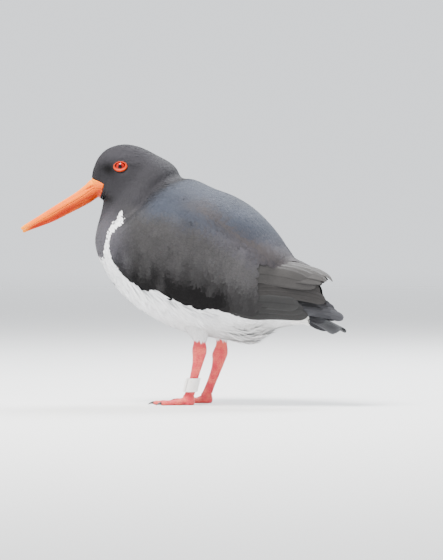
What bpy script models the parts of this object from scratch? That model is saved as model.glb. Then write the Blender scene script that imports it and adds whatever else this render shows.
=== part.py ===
"""A pied oystercatcher at rest, life size, standing on both feet with its head turned a little to its left.

The bird faces -X with +Z up, and its left side is -Y. Sizes below are in millimetres and become metres in each mesh.
"""

import math

import bmesh
import bpy
import numpy as np
from mathutils import Matrix, Vector
from mathutils.bvhtree import BVHTree

GAP = 0.3
SIDES = {"left": -1.0, "right": 1.0}

# Sections of head, neck and trunk: top x, top z, bottom x, bottom z, half width, level of the widest point.
BODY_SECTIONS = (
    (-104.0, 209.0, -97.0, 192.0, 7.6, 0.50),
    (-102.2, 218.5, -94.0, 190.2, 11.0, 0.46),
    (-97.0, 229.8, -92.2, 188.6, 15.0, 0.44),
    (-88.0, 237.8, -91.6, 185.8, 18.5, 0.42),
    (-73.7, 241.5, -93.0, 180.0, 21.0, 0.42),
    (-58.0, 238.8, -96.0, 171.0, 24.5, 0.42),
    (-42.0, 231.0, -98.8, 160.0, 31.0, 0.42),
    (-29.0, 223.5, -99.5, 148.0, 40.0, 0.42),
    (-18.6, 212.5, -95.5, 135.0, 49.0, 0.44),
    (-5.0, 208.0, -88.0, 121.0, 54.5, 0.46),
    (12.0, 200.5, -77.0, 106.0, 57.5, 0.48),
    (30.0, 194.0, -60.0, 90.5, 59.0, 0.50),
    (47.0, 184.5, -40.0, 78.5, 58.0, 0.50),
    (62.0, 171.7, -18.0, 69.0, 54.5, 0.50),
    (75.0, 157.0, 8.0, 63.5, 49.0, 0.50),
    (83.0, 145.0, 32.0, 60.0, 43.0, 0.50),
    (89.0, 136.0, 52.0, 59.0, 37.0, 0.50),
)
# The trunk narrows to the tail under the folded wings.
RUMP_SECTIONS = (
    (95.0, 121.0, 70.0, 66.5, 27.0, 0.50),
    (99.0, 106.0, 86.0, 72.5, 19.5, 0.50),
    (103.0, 95.0, 98.0, 75.5, 14.0, 0.50),
)
# The outside of the folded wings carries on past the trunk to their tips.
FOLDED_SECTIONS = (
    (98.0, 131.5, 72.0, 69.0, 31.0, 0.50),
    (107.0, 127.0, 92.0, 75.0, 25.0, 0.50),
    (118.0, 121.5, 108.0, 77.0, 20.0, 0.50),
    (127.0, 115.0, 122.0, 78.0, 15.0, 0.50),
    (133.5, 101.0, 131.0, 78.0, 10.5, 0.50),
    (140.5, 86.5, 139.5, 78.0, 7.0, 0.50),
    (146.0, 84.0, 145.0, 77.0, 6.0, 0.50),
)
TRUNK_TABLE = BODY_SECTIONS + RUMP_SECTIONS
FOLDED_TABLE = BODY_SECTIONS + FOLDED_SECTIONS

ROUNDNESS = 2.15
HEAD_TURN = math.radians(12)
TURN_AXIS_X = -50.0
HEAD_END = 5.7
NECK_END = 8.0
TRUNK_END = 19.0

# Bill sections: top x, top z, mouth x, mouth z, bottom x, bottom z, half width.
BILL_SECTIONS = (
    (-97.5, 207.0, -91.5, 199.5, -90.0, 193.5, 10.5),
    (-104.2, 208.6, -100.6, 200.4, -97.3, 192.3, 7.4),
    (-110.0, 203.6, -107.3, 196.2, -104.5, 187.6, 6.4),
    (-119.0, 196.6, -116.0, 190.6, -113.0, 183.0, 5.2),
    (-131.5, 188.8, -128.7, 183.6, -126.0, 176.5, 4.3),
    (-144.0, 181.0, -141.5, 176.2, -139.0, 170.0, 3.7),
    (-156.0, 173.4, -153.6, 169.3, -151.4, 165.2, 3.0),
    (-165.5, 167.6, -163.3, 164.4, -161.5, 161.6, 2.2),
    (-170.3, 164.2, -168.9, 161.5, -167.4, 159.2, 1.4),
)
MOUTH_GAP = 0.35
NOSTRIL = (-104.5, 200.6)
NOSTRIL_LENGTH = 8.0

EYE_CENTRE = (-74.4, 14.0, 221.2)
EYE_RADIUS = 6.2
LID_LONG = 6.0
LID_SHORT = 4.5
LID_TUBE = 1.0

# Folded wing seen from the side: x, lower edge z, upper edge z.
WING_OUTLINE = (
    (-72.5, 144.0, 151.0),
    (-70.0, 138.0, 156.0),
    (-64.0, 129.0, 161.5),
    (-55.0, 117.5, 168.5),
    (-40.0, 107.5, 176.0),
    (-20.0, 101.0, 178.5),
    (0.0, 91.5, 178.0),
    (20.0, 87.3, 171.0),
    (40.0, 85.5, 158.5),
    (55.0, 83.6, 148.5),
    (66.0, 82.5, 145.0),
    (78.0, 81.5, 144.0),
    (88.0, 81.0, 143.0),
    (100.0, 80.3, 140.0),
    (114.0, 80.0, 125.0),
    (123.0, 79.8, 117.5),
    (128.0, 79.5, 108.0),
    (134.0, 79.3, 96.0),
    (138.0, 79.2, 88.0),
    (140.5, 79.5, 84.0),
)
# Line inside the folded wings that their sections spread from: x, z.
WING_AXIS = (
    (-90.0, 152.0),
    (0.0, 128.0),
    (60.0, 112.0),
    (100.0, 101.0),
    (118.0, 96.0),
    (128.0, 91.0),
    (136.0, 86.5),
    (144.0, 82.0),
    (152.0, 80.5),
)
WING_DEPTH = 4.6
MIDLINE = 0.6

# Outline of a long feather and of a covert: part of its length, part of its half width.
LONG_VANE = ((0.0, 0.62), (0.22, 0.82), (0.44, 0.95), (0.66, 1.0), (0.88, 0.8), (1.0, 0.34))
COVERT_VANE = ((0.0, 0.8), (0.5, 1.0), (0.85, 0.8), (1.0, 0.4))

# Rows of wing feathers, each read from its first feather to its last: how many, outline, then for both ends
# root x and z, tip x and z, half width, height of the tip above the wing, thickness at root and tip.
WING_ROWS = {
    "primaries": (
        4,
        LONG_VANE,
        ((92, 84.5), (136.5, 82.8), 4.6, 0.5, (1.1, 0.6)),
        ((84, 93.0), (124.5, 94.5), 5.6, 1.2, (1.1, 0.6)),
    ),
    "secondaries": (
        4,
        LONG_VANE,
        ((40, 91.5), (101.0, 84.8), 4.8, 1.4, (1.2, 0.7)),
        ((38, 105.0), (119.5, 98.5), 6.8, 2.2, (1.2, 0.7)),
    ),
    "tertials": (
        5,
        LONG_VANE,
        ((48, 113.0), (114.0, 102.5), 6.4, 2.5, (1.2, 0.7)),
        ((64, 137.0), (126.5, 115.4), 6.6, 3.6, (1.2, 0.7)),
    ),
    "median_coverts": (
        6,
        COVERT_VANE,
        ((4, 97.0), (34, 92.0), 6.0, 2.2, (1.1, 1.9)),
        ((6, 162.0), (32, 152.0), 6.6, 2.4, (1.1, 1.9)),
    ),
    "greater_coverts": (
        7,
        COVERT_VANE,
        ((34, 91.5), (66, 89.2), 4.4, 2.6, (1.1, 2.0)),
        ((34, 146.0), (65, 133.4), 4.4, 3.0, (1.1, 2.0)),
    ),
}

# Tail feathers, from the middle pair outwards: side of root, side of tip, tip x.
TAIL_PAIRS = (
    (0.9, 2.2, 138.6),
    (2.2, 5.6, 138.9),
    (3.6, 8.9, 138.7),
    (5.0, 12.0, 138.2),
    (6.4, 14.8, 137.3),
    (7.8, 17.2, 135.8),
)
TAIL_ROOT_X = 102.5
TAIL_TOP = ((98.0, 87.0), (112.0, 83.2), (126.0, 78.2), (140.0, 71.6))
TAIL_DROOP = 6.2
TAIL_HALF_WIDTH = 5.2

# Each leg: sections of bare shin, ankle and shank as x, y, z, half depth, half width.
LEG_SECTIONS = {
    "left": (
        (6.2, 20.0, 61.4, 5.4, 4.6),
        (6.2, 20.0, 57.0, 5.7, 4.7),
        (5.8, 20.0, 52.5, 6.9, 5.4),
        (5.2, 20.0, 48.0, 6.8, 5.3),
        (4.0, 20.0, 43.5, 5.2, 4.3),
        (2.4, 20.0, 37.0, 4.5, 3.5),
        (-0.2, 20.0, 26.0, 4.3, 3.1),
        (-2.8, 20.0, 15.0, 4.5, 3.4),
        (-4.1, 20.0, 9.3, 5.0, 4.0),
    ),
    "right": (
        (14.2, 20.0, 61.4, 5.4, 4.6),
        (13.7, 20.0, 55.0, 5.7, 4.7),
        (12.9, 20.0, 50.0, 6.9, 5.4),
        (11.9, 20.2, 45.5, 6.8, 5.3),
        (10.5, 20.6, 41.0, 5.2, 4.3),
        (8.2, 21.0, 34.5, 4.5, 3.5),
        (4.4, 21.8, 24.5, 4.3, 3.1),
        (0.8, 22.4, 15.0, 4.5, 3.4),
        (-0.9, 22.6, 9.3, 5.0, 4.0),
    ),
}
THIGH_TOP_Z = 76.0
THIGH_RADII = (12.5, 10.5, 7.6)

# Toes: angle out from straight ahead, length without the claw, claw length.
TOES = {
    "inner": (-35.0, 23.5, 4.6),
    "middle": (7.0, 33.0, 5.2),
    "outer": (38.0, 27.0, 4.6),
}

BAND_CENTRE_Z = 18.6
BAND_HEIGHT = 12.6
BAND_INNER = 5.2
BAND_OUTER = 6.5

COLOURS = {
    "plumage_black": (0.030, 0.029, 0.031),
    "plumage_back": (0.055, 0.060, 0.070),
    "plumage_wing": (0.050, 0.048, 0.047),
    "tail_black": (0.030, 0.030, 0.033),
    "plumage_white": (0.72, 0.73, 0.74),
    "bill_orange": (0.85, 0.17, 0.03),
    "iris_red": (0.45, 0.03, 0.02),
    "lid_orange": (0.80, 0.16, 0.06),
    "leg_pink": (0.72, 0.22, 0.21),
    "claw_black": (0.02, 0.018, 0.017),
    "band_white": (0.85, 0.84, 0.82),
}


def smooth_rows(rows, at):
    """Reads a smooth curve through evenly numbered rows, at row numbers that can fall between two."""
    rows = np.asarray(rows, float)
    at = np.atleast_1d(np.asarray(at, float))
    rows = np.vstack([2 * rows[0] - rows[1], rows, 2 * rows[-1] - rows[-2]])
    low = np.clip(np.floor(at).astype(int), 0, len(rows) - 4)
    part = (at - low)[:, None]
    a, b, c, d = rows[low], rows[low + 1], rows[low + 2], rows[low + 3]
    return b + 0.5 * part * (c - a + part * (2 * a - 5 * b + 4 * c - d + part * (3 * (b - c) + d - a)))


def table_at(table, x):
    """Reads the other columns of a table at a value of its first column."""
    table = np.asarray(table, float)
    return np.array([np.interp(x, table[:, 0], table[:, k]) for k in range(1, table.shape[1])])


def ease(low, high, value):
    part = np.clip((value - low) / (high - low), 0, 1)
    return part * part * (3 - 2 * part)


def head_turn(at):
    """The head keeps its full turn, and the neck takes it up."""
    return HEAD_TURN * (1 - ease(4.5, 8.5, at))


def turned(points, angle):
    """Turns points about the upright axis of the neck."""
    out = np.array(points, float)
    x, y = out[..., 0] - TURN_AXIS_X, out[..., 1].copy()
    out[..., 0] = TURN_AXIS_X + x * math.cos(angle) - y * math.sin(angle)
    out[..., 1] = x * math.sin(angle) + y * math.cos(angle)
    return out


def body_ring(at, table, count, shift=0.0):
    """One flat ring of the trunk, neck or head; shift moves it along its own axis, towards the tail."""
    top_x, top_z, low_x, low_z, half, level = smooth_rows(table, at)[0]
    up = np.array([top_x - low_x, top_z - low_z])
    length = np.hypot(*up)
    up /= length
    turn = 2 * np.pi * (np.arange(count) + 0.5) / count
    power = 2 / ROUNDNESS
    across = -half * np.sign(np.sin(turn)) * np.abs(np.sin(turn)) ** power
    rise = np.sign(np.cos(turn)) * np.abs(np.cos(turn)) ** power
    rise = length * (level + rise * np.where(rise > 0, 1 - level, level))
    ring = np.stack(
        [
            low_x + rise * up[0] + shift * up[1],
            across,
            low_z + rise * up[1] - shift * up[0],
        ],
        axis=1,
    )
    return turned(ring, float(head_turn(at)))


def loft(rings):
    """Points and faces of a closed skin over rings of equal counts, with a flat cap at each end."""
    rings = [np.asarray(ring, float) for ring in rings]
    count = len(rings[0])
    faces = []
    for row in range(len(rings) - 1):
        for k in range(count):
            low, high = row * count, (row + 1) * count
            after = (k + 1) % count
            faces.append((low + k, low + after, high + after))
            faces.append((low + k, high + after, high + k))
    faces.append(tuple(range(count))[::-1])
    faces.append(tuple((len(rings) - 1) * count + k for k in range(count)))
    return np.vstack(rings), faces


def ring_corners(k, j, around, tube):
    """The four corners of one face of a hoop."""
    after_k, after_j = (k + 1) % around, (j + 1) % tube
    return (k * tube + j, after_k * tube + j, after_k * tube + after_j, k * tube + after_j)


def make_object(name, points, faces):
    mesh = bpy.data.meshes.new(name)
    mesh.from_pydata((np.asarray(points) * 0.001).tolist(), [], faces)
    shell = bmesh.new()
    shell.from_mesh(mesh)
    bmesh.ops.recalc_face_normals(shell, faces=shell.faces)
    shell.to_mesh(mesh)
    shell.free()
    obj = bpy.data.objects.new(name, mesh)
    bpy.context.scene.collection.objects.link(obj)
    return obj


def keep_largest(mesh):
    """Keeps only the largest closed surface of a mesh, with its faces as triangles."""
    shell = bmesh.new()
    shell.from_mesh(mesh)
    bmesh.ops.triangulate(shell, faces=shell.faces)
    bmesh.ops.dissolve_degenerate(shell, dist=1e-7, edges=shell.edges)
    bmesh.ops.triangulate(shell, faces=shell.faces)
    left = set(shell.faces)
    groups = []
    while left:
        group, queue = set(), [left.pop()]
        while queue:
            face = queue.pop()
            group.add(face)
            near = {other for edge in face.edges for other in edge.link_faces} & left
            left -= near
            queue.extend(near)
        groups.append(group)
    groups.sort(key=lambda group: -sum(face.calc_area() for face in group))
    spare = [face for group in groups[1:] for face in group]
    bmesh.ops.delete(shell, geom=spare, context="FACES")
    loose = [vertex for vertex in shell.verts if not vertex.link_faces]
    bmesh.ops.delete(shell, geom=loose, context="VERTS")
    shell.to_mesh(mesh)
    shell.free()


def combine(obj, others, operation):
    """Joins the others to an object, or cuts them from it, in one step, and removes them."""
    group = bpy.data.collections.new(obj.name + "_tools")
    bpy.context.scene.collection.children.link(group)
    for other in others:
        bpy.context.scene.collection.objects.unlink(other)
        group.objects.link(other)
    modifier = obj.modifiers.new("combine", "BOOLEAN")
    modifier.operation = operation
    modifier.solver = "EXACT"
    modifier.operand_type = "COLLECTION"
    modifier.collection = group
    graph = bpy.context.evaluated_depsgraph_get()
    result = bpy.data.meshes.new_from_object(obj.evaluated_get(graph))
    obj.modifiers.remove(modifier)
    obj.data = result
    keep_largest(result)
    for other in others:
        bpy.data.objects.remove(other)
    bpy.data.collections.remove(group)
    return obj


def finish(obj, colour, rough=0.6, smooth=True):
    """Gives a node its own material and shading."""
    material = bpy.data.materials.new(obj.name)
    material.use_nodes = True
    shader = material.node_tree.nodes["Principled BSDF"]
    shader.inputs["Base Color"].default_value = (*COLOURS[colour], 1)
    shader.inputs["Roughness"].default_value = rough
    obj.data.materials.clear()
    obj.data.materials.append(material)
    obj.data.polygons.foreach_set("use_smooth", [smooth] * len(obj.data.polygons))
    return obj


def surface_tree(points, faces):
    triangles = []
    for face in faces:
        triangles += [(face[0], face[k], face[k + 1]) for k in range(1, len(face) - 1)]
    return BVHTree.FromPolygons([tuple(p) for p in points], triangles)


def build_trunk_parts():
    head = make_object(
        "head",
        *loft([body_ring(at, TRUNK_TABLE, 26) for at in (0, 0.35, 0.8, 1.4, 2, 2.6, 3.2, 3.8, 4.4, 5)]
              + [body_ring(HEAD_END, TRUNK_TABLE, 26, -GAP / 2)]),
    )
    neck = make_object(
        "neck",
        *loft([body_ring(HEAD_END, TRUNK_TABLE, 32, GAP / 2)]
              + [body_ring(at, TRUNK_TABLE, 32) for at in (6.1, 6.6, 7.1, 7.6)]
              + [body_ring(NECK_END, TRUNK_TABLE, 32, -GAP / 2)]),
    )
    rows = np.concatenate([np.arange(NECK_END + 0.5, 16.1, 0.5), (16.6, 17.2, 17.8, 18.4)])
    torso = make_object(
        "torso",
        *loft([body_ring(NECK_END, TRUNK_TABLE, 32, GAP / 2)]
              + [body_ring(at, TRUNK_TABLE, 32) for at in rows]
              + [body_ring(TRUNK_END, TRUNK_TABLE, 32, -GAP / 2)]),
    )
    return head, neck, torso


def bill_ring(at, part, grow, count=9):
    """One flat ring of the upper or lower bill."""
    top_x, top_z, mouth_x, mouth_z, low_x, low_z, half = smooth_rows(BILL_SECTIONS, at)[0]
    mouth = np.array([mouth_x, mouth_z])
    away = np.array([top_x, top_z] if part == "upper" else [low_x, low_z]) - mouth
    height = np.hypot(*away)
    away /= height
    inset = MOUTH_GAP / 2 - grow
    power = 2 / 2.3
    turn = np.linspace(-np.pi / 2, np.pi / 2, count + 1)
    across = (half + grow) * np.sign(np.sin(turn)) * np.abs(np.sin(turn)) ** power
    lift = inset + np.abs(np.cos(turn)) ** power * (height + grow - inset)
    return turned(np.stack([mouth[0] + lift * away[0], across, mouth[1] + lift * away[1]], 1), HEAD_TURN)


def build_bill(head):
    steps = (0, 0.5, 1, 1.5, 2.2, 3.1, 4, 5, 6, 7, 7.6, 8)
    upper = make_object("bill_upper", *loft([bill_ring(at, "upper", 0) for at in steps]))
    lower = make_object("bill_lower", *loft([bill_ring(at, "lower", 0) for at in steps]))
    reach = (-0.05, 0, 0.5, 1, 1.5, 2.2)
    for part in ("upper", "lower"):
        cutter = make_object("bill_room", *loft([bill_ring(at, part, GAP) for at in reach]))
        combine(head, [cutter], "DIFFERENCE")
    slots = []
    for side in SIDES.values():
        turn = np.linspace(0, 2 * np.pi, 10, endpoint=False)
        rings = []
        for part in np.linspace(-1, 1, 7):
            size = math.sqrt(1 - (0.96 * part) ** 2)
            x = NOSTRIL[0] - 0.5 * NOSTRIL_LENGTH * part * 0.84
            z = NOSTRIL[1] - 0.5 * NOSTRIL_LENGTH * part * 0.55
            ring = np.stack([x + 0 * turn, side * (6.9 + 1.9 * size * np.cos(turn)), z + 0.8 * size * np.sin(turn)], 1)
            rings.append(ring)
        slots.append(make_object("slot", *loft([turned(ring, HEAD_TURN) for ring in rings])))
    combine(upper, slots, "DIFFERENCE")
    finish(upper, "bill_orange", 0.35)
    finish(lower, "bill_orange", 0.35)


def ball(name, centre, radius):
    """A round ball of even rings, lying with its poles fore and aft."""
    rings = []
    for turn in np.linspace(0.2, np.pi - 0.2, 9):
        around = np.linspace(0, 2 * np.pi, 12, endpoint=False)
        rings.append(
            np.stack(
                [
                    centre[0] + radius * math.cos(turn) + 0 * around,
                    centre[1] + radius * math.sin(turn) * np.cos(around),
                    centre[2] + radius * math.sin(turn) * np.sin(around),
                ],
                1,
            )
        )
    return make_object(name, *loft(rings))


def lid_ring(name, centre, normal, grow):
    """A narrow oval rim standing round the eye."""
    normal = Vector(normal).normalized()
    along = Vector((-1, 0, 0)) - normal * Vector((-1, 0, 0)).dot(normal)
    along.normalize()
    upward = normal.cross(along)
    points, faces = [], []
    around, tube = 16, 6
    for k in range(around):
        turn = 2 * math.pi * k / around
        outward = along * (LID_LONG * math.cos(turn)) + upward * (LID_SHORT * math.sin(turn))
        radial = outward.normalized()
        middle = Vector(centre) + outward
        for j in range(tube):
            angle = 2 * math.pi * (j + 0.5) / tube
            size = LID_TUBE + grow
            points.append(middle + radial * (size * math.cos(angle)) + normal * (1.25 * size * math.sin(angle)))
            corners = ring_corners(k, j, around, tube)
            faces += [corners[:3], (corners[0], *corners[2:])]
    return make_object(name, np.array([tuple(p) for p in points]), faces)


def build_eyes(head):
    """Eyes in sockets, each with a fleshy rim let into the face round it."""
    cutters = []
    tree = surface_tree(*loft([body_ring(at, TRUNK_TABLE, 64) for at in np.arange(0, 6.1, 0.25)]))
    for label, side in SIDES.items():
        centre = turned((EYE_CENTRE[0], side * EYE_CENTRE[1], EYE_CENTRE[2]), HEAD_TURN)
        outward = Vector(turned((TURN_AXIS_X - 0.10, side * 1.0, 0.0), HEAD_TURN))
        outward = Vector((outward[0] - TURN_AXIS_X, outward[1], 0.10)).normalized()
        hit, normal, _, _ = tree.ray_cast(Vector(centre) + outward * 60, -outward)
        if normal.dot(outward) < 0:
            normal = -normal
        rim_at = hit + normal * 0.2
        finish(ball(f"eye_{label}", centre, EYE_RADIUS), "iris_red", 0.1)
        lid = lid_ring(f"eyelid_{label}", rim_at, normal, 0.0)
        combine(lid, [ball("room", centre, EYE_RADIUS + GAP)], "DIFFERENCE")
        finish(lid, "lid_orange", 0.5)
        cutters.append(ball("room", centre, EYE_RADIUS + GAP))
        cutters.append(lid_ring("room", rim_at, normal, GAP))
    for cutter in cutters:
        combine(head, [cutter], "DIFFERENCE")


class WingSurface:
    """The outside of the folded left wing, read by x and by the angle out from straight up."""

    def __init__(self):
        steps = np.arange(8, 23.01, 0.2)
        rings = [body_ring(at, FOLDED_TABLE, 120) for at in steps]
        self.tree = surface_tree(*loft(rings))

    def reach(self, x, angle):
        """Distance from the wing's inner line to the surface."""
        start = Vector((x, 0, table_at(WING_AXIS, x)[0]))
        ray = Vector((0, -math.sin(angle), math.cos(angle)))
        hit = self.tree.ray_cast(start, ray)
        return (hit[0] - start).length if hit[0] else 4.0

    def angle_at(self, x, z):
        """Angle of the surface point at this height, or of the midline where the surface lies lower."""
        axis = table_at(WING_AXIS, x)[0]
        hit = self.tree.ray_cast(Vector((x, -200, z)), Vector((0, 1, 0)))
        least = math.asin(MIDLINE / max(self.reach(x, 0.03), 2.0))
        if hit[0] is None or hit[0].y > -MIDLINE:
            return least if z > axis else math.pi - least
        return max(least, math.atan2(-hit[0].y, z - axis))

    def point(self, x, angle, lift):
        size = self.reach(x, angle) + lift
        axis = table_at(WING_AXIS, x)[0]
        y = -size * math.sin(angle)
        return np.array([x, min(y, -0.5 * MIDLINE), axis + size * math.cos(angle)])


def wing_shell(wing, grow):
    """Base of the folded left wing as a curved plate; grow widens it all round, to cut its room in the trunk."""
    x_steps = (-72.5, -71.5, -68.5, -62, -53, -42, -28, -13, 2, 18, 34, 50, 64, 76, 86, 96, 105, 112)
    across = np.linspace(0, 1, 7)
    rings = []
    for k, x in enumerate(x_steps):
        low, high = table_at(WING_OUTLINE, x)
        start, end = wing.angle_at(x, high), wing.angle_at(x, low)
        x += grow * ((k == len(x_steps) - 1) - (k == 0))
        size = wing.reach(x, 0.5 * (start + end))
        start = max(start - 4 * grow / size, 0.5 * MIDLINE / size)
        end += 4 * grow / size
        depth = np.interp(x, (-72, -60, 60, 100, 112), (2.0, WING_DEPTH, WING_DEPTH, 3.0, 1.8))
        proud = np.interp(x, (-72, 70, 92, 112), (1.0, 1.0, 0.2, -0.4))
        outer = [wing.point(x, start + (end - start) * t, proud + 4 * grow) for t in across]
        inner = []
        for t in across[::-1]:
            thick = 0.45 * depth + 0.55 * depth * (4 * t * (1 - t)) ** 0.5
            inner.append(wing.point(x, start + (end - start) * t, proud - thick - 3 * grow))
        rings.append(np.vstack([outer, inner]))
    return loft(rings)


def wing_vane(wing, shape, root, tip, half, lift, thick):
    """One long feather lying along the wing, its root sunk in the plate and its lower edge over the next."""
    start, end = wing.angle_at(*root), wing.angle_at(*tip)
    rings = []
    for part, wide in shape:
        x = root[0] + (tip[0] - root[0]) * part
        angle = start + (end - start) * part
        size = wing.reach(x, angle)
        run = np.array([tip[0] - root[0], (end - start) * size])
        run /= np.hypot(*run)
        height = 0.5 + (lift - 0.5) * min(1.0, 1.25 * part)
        deep = thick[0] + (thick[1] - thick[0]) * part
        top, low = [], []
        for side, drop in ((-1, 0.4), (0, 0.0), (1, 0.1)):
            away = side * half * wide
            place = (x - run[1] * away, angle + run[0] * away / size)
            top.append(wing.point(*place, height - drop))
            low.append(wing.point(*place, height - drop - deep))
        rings.append(np.vstack([top, low[::-1]]))
    return loft(rings)


def wing_vanes(wing):
    for count, shape, first, last in WING_ROWS.values():
        for k in range(count):
            part = k / (count - 1)
            root, tip, half, lift, thick = (
                tuple(np.asarray(a, float) + (np.asarray(b, float) - np.asarray(a, float)) * part)
                if isinstance(a, tuple)
                else a + (b - a) * part
                for a, b in zip(first, last)
            )
            yield wing_vane(wing, shape, root, tip, half, lift, thick)


def build_wings(torso, tail):
    wing = WingSurface()
    base = wing_shell(wing, 0.0)
    room = wing_shell(wing, GAP)
    vanes = list(wing_vanes(wing))
    for label, side in SIDES.items():
        flip = (1, 1 if side < 0 else -1, 1)
        obj = make_object(f"wing_{label}", base[0] * flip, base[1])
        combine(obj, [make_object("vane", points * flip, faces) for points, faces in vanes], "UNION")
        finish(obj, "plumage_wing")
        for body in (torso, tail):
            combine(body, [make_object("room", room[0] * flip, room[1])], "DIFFERENCE")


def tail_vane(side, root_y, tip_y, tip_x, order):
    """One tail feather of the folded tail, lower than the one nearer the middle."""
    rings = []
    for part, wide in LONG_VANE:
        x = TAIL_ROOT_X + (tip_x - TAIL_ROOT_X) * part
        middle = root_y + (tip_y - root_y) * part
        top, low = [], []
        for across in (-1, 0, 1):
            y = middle + across * TAIL_HALF_WIDTH * wide * (0.45 + 0.55 * part)
            z = table_at(TAIL_TOP, x)[0] - TAIL_DROOP * (y / 18) ** 2 - 0.42 * order - 0.25 * (across < 0)
            deep = 1.3 - 0.6 * part
            top.append((x, side * y, z))
            low.append((x, side * y, z - deep))
        rings.append(np.array(top + low[::-1]))
    return loft(rings)


def build_tail():
    """Tail coverts tapering over and under the folded tail feathers."""
    rings = [body_ring(TRUNK_END, TRUNK_TABLE, 20, GAP / 2)]
    sections = (
        (108, 88.0, 74.0, 13.6),
        (114, 84.4, 71.4, 14.6),
        (120, 80.6, 69.4, 14.0),
        (126, 75.6, 69.2, 9.0),
    )
    turn = 2 * np.pi * (np.arange(20) + 0.5) / 20
    for x, top, low, half in sections:
        middle, tall = 0.5 * (top + low), 0.5 * (top - low)
        across = -half * np.sign(np.sin(turn)) * np.abs(np.sin(turn)) ** 0.8
        rings.append(np.stack([x + 0 * turn, across, middle + tall * np.cos(turn)], 1))
    tail = make_object("tail", *loft(rings))
    vanes = [
        make_object("vane", *tail_vane(side, *pair, order + (0.2 if side > 0 else 0.0)))
        for side in SIDES.values()
        for order, pair in enumerate(TAIL_PAIRS)
    ]
    return combine(tail, vanes, "UNION")


def leg_ring(row, side, count=12, grow=0.0):
    x, y, z, deep, wide = row
    turn = np.linspace(0, 2 * np.pi, count, endpoint=False)
    return np.stack([x + (deep + grow) * np.cos(turn), side * y + (wide + grow) * np.sin(turn), z + 0 * turn], 1)


def build_legs(torso):
    for label, side in SIDES.items():
        rows = LEG_SECTIONS[label]
        finish(make_object(f"tarsus_{label}", *loft([leg_ring(row, side) for row in rows])), "leg_pink", 0.45)
        top = rows[0]
        for grow in (0.0, GAP):
            rings = []
            heights = (THIGH_TOP_Z + grow, 69.0, top[2] + GAP - grow - (1 if grow else 0))
            for z, radius in zip(heights, THIGH_RADII):
                lean = (z - top[2]) * -0.25
                rings.append(leg_ring((top[0] + lean, top[1], z, radius, 0.92 * radius), side, 16, grow))
            obj = make_object("room" if grow else f"thigh_{label}", *loft(rings))
            if grow:
                combine(torso, [obj], "DIFFERENCE")
            else:
                finish(obj, "plumage_white")


def toe_ring(centre, heading, height, deep, wide, count=10):
    """A ring across a toe, flat where it would pass below the floor."""
    turn = 2 * np.pi * (np.arange(count) + 0.5) / count
    side = np.array([-heading[1], heading[0]])
    across = wide * np.cos(turn)
    ring = np.stack(
        [centre[0] + side[0] * across, centre[1] + side[1] * across, height + deep * np.sin(turn)], 1
    )
    ring[:, 2] = np.maximum(ring[:, 2], 0)
    return ring


def build_feet():
    for label, side in SIDES.items():
        last = LEG_SECTIONS[label][-1]
        foot_x, foot_y = last[0] - 0.6, last[1]
        knuckle = [leg_ring((last[0] - 0.1, last[1], last[2] - GAP, last[3], last[4]), side)]
        for z, deep, wide in ((6.3, 5.6, 4.6), (2.8, 5.8, 5.0), (0.8, 5.2, 4.6), (0.0, 4.3, 3.8)):
            knuckle.append(leg_ring((foot_x, foot_y, z, deep, wide), side))
        foot = make_object(f"foot_{label}", *loft(knuckle))
        toes = []
        for toe, (out, length, claw) in TOES.items():
            angle = math.radians(out)
            heading = np.array([-math.cos(angle), side * math.sin(angle)])
            start = np.array([foot_x, side * foot_y])
            rings = []
            for part, height, deep, wide in (
                (0.02, 4.4, 3.2, 2.6),
                (0.18, 3.4, 3.2, 3.0),
                (0.34, 2.3, 2.6, 2.8),
                (0.48, 2.2, 2.6, 3.0),
                (0.62, 1.9, 2.2, 2.5),
                (0.75, 1.9, 2.3, 2.7),
                (0.92, 1.7, 2.0, 2.2),
                (1.00, 1.7, 1.5, 1.6),
            ):
                rings.append(toe_ring(start + heading * length * part, heading, height, deep, wide))
            toes.append(make_object("toe", *loft(rings)))
            tip = start + heading * (length + GAP)
            rings = []
            for part, height, size in ((0, 1.75, 1.35), (0.35, 1.75, 1.15), (0.7, 1.3, 0.75), (1, 0.55, 0.25)):
                rings.append(toe_ring(tip + heading * claw * part, heading, height, size, size * 0.8, 8))
            finish(make_object(f"claw_{label}_{toe}", *loft(rings)), "claw_black", 0.35)
        combine(foot, toes, "UNION")
        finish(foot, "leg_pink", 0.5)


def build_band():
    """Plain plastic ring, loose round the left shank and tilted with it."""
    rows = LEG_SECTIONS["left"]
    low, high = rows[7], rows[6]
    slope = (high[0] - low[0]) / (high[2] - low[2])
    centre_x = low[0] + slope * (BAND_CENTRE_Z - low[2])
    turn = np.linspace(0, 2 * np.pi, 18, endpoint=False)
    half = BAND_HEIGHT / 2
    profile = (
        (BAND_INNER, -half + 0.4), (BAND_INNER + 0.4, -half), (BAND_OUTER - 0.3, -half), (BAND_OUTER, -half + 0.3),
        (BAND_OUTER, half - 0.3), (BAND_OUTER - 0.3, half), (BAND_INNER + 0.4, half), (BAND_INNER, half - 0.4),
    )
    points, faces = [], []
    for k, angle in enumerate(turn):
        for radius, up in profile:
            points.append(
                (centre_x + radius * math.cos(angle) + slope * up, -20.0 + radius * math.sin(angle), BAND_CENTRE_Z + up)
            )
        faces += [ring_corners(k, j, len(turn), len(profile)) for j in range(len(profile))]
    finish(make_object("leg_band", points, faces), "band_white", 0.45)


def centre_on_floor():
    """Moves every node so that the middle of the whole box stands on the origin."""
    points = np.vstack(
        [[tuple(corner) for corner in obj.bound_box] for obj in bpy.context.scene.collection.objects]
    )
    low, high = points.min(0), points.max(0)
    shift = np.array([-(low[0] + high[0]) / 2, -(low[1] + high[1]) / 2, -low[2]])
    for obj in bpy.context.scene.collection.objects:
        obj.data.transform(Matrix.Translation(shift))
    print("moved by", [round(1000 * float(value), 3) for value in shift], "mm")


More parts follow.
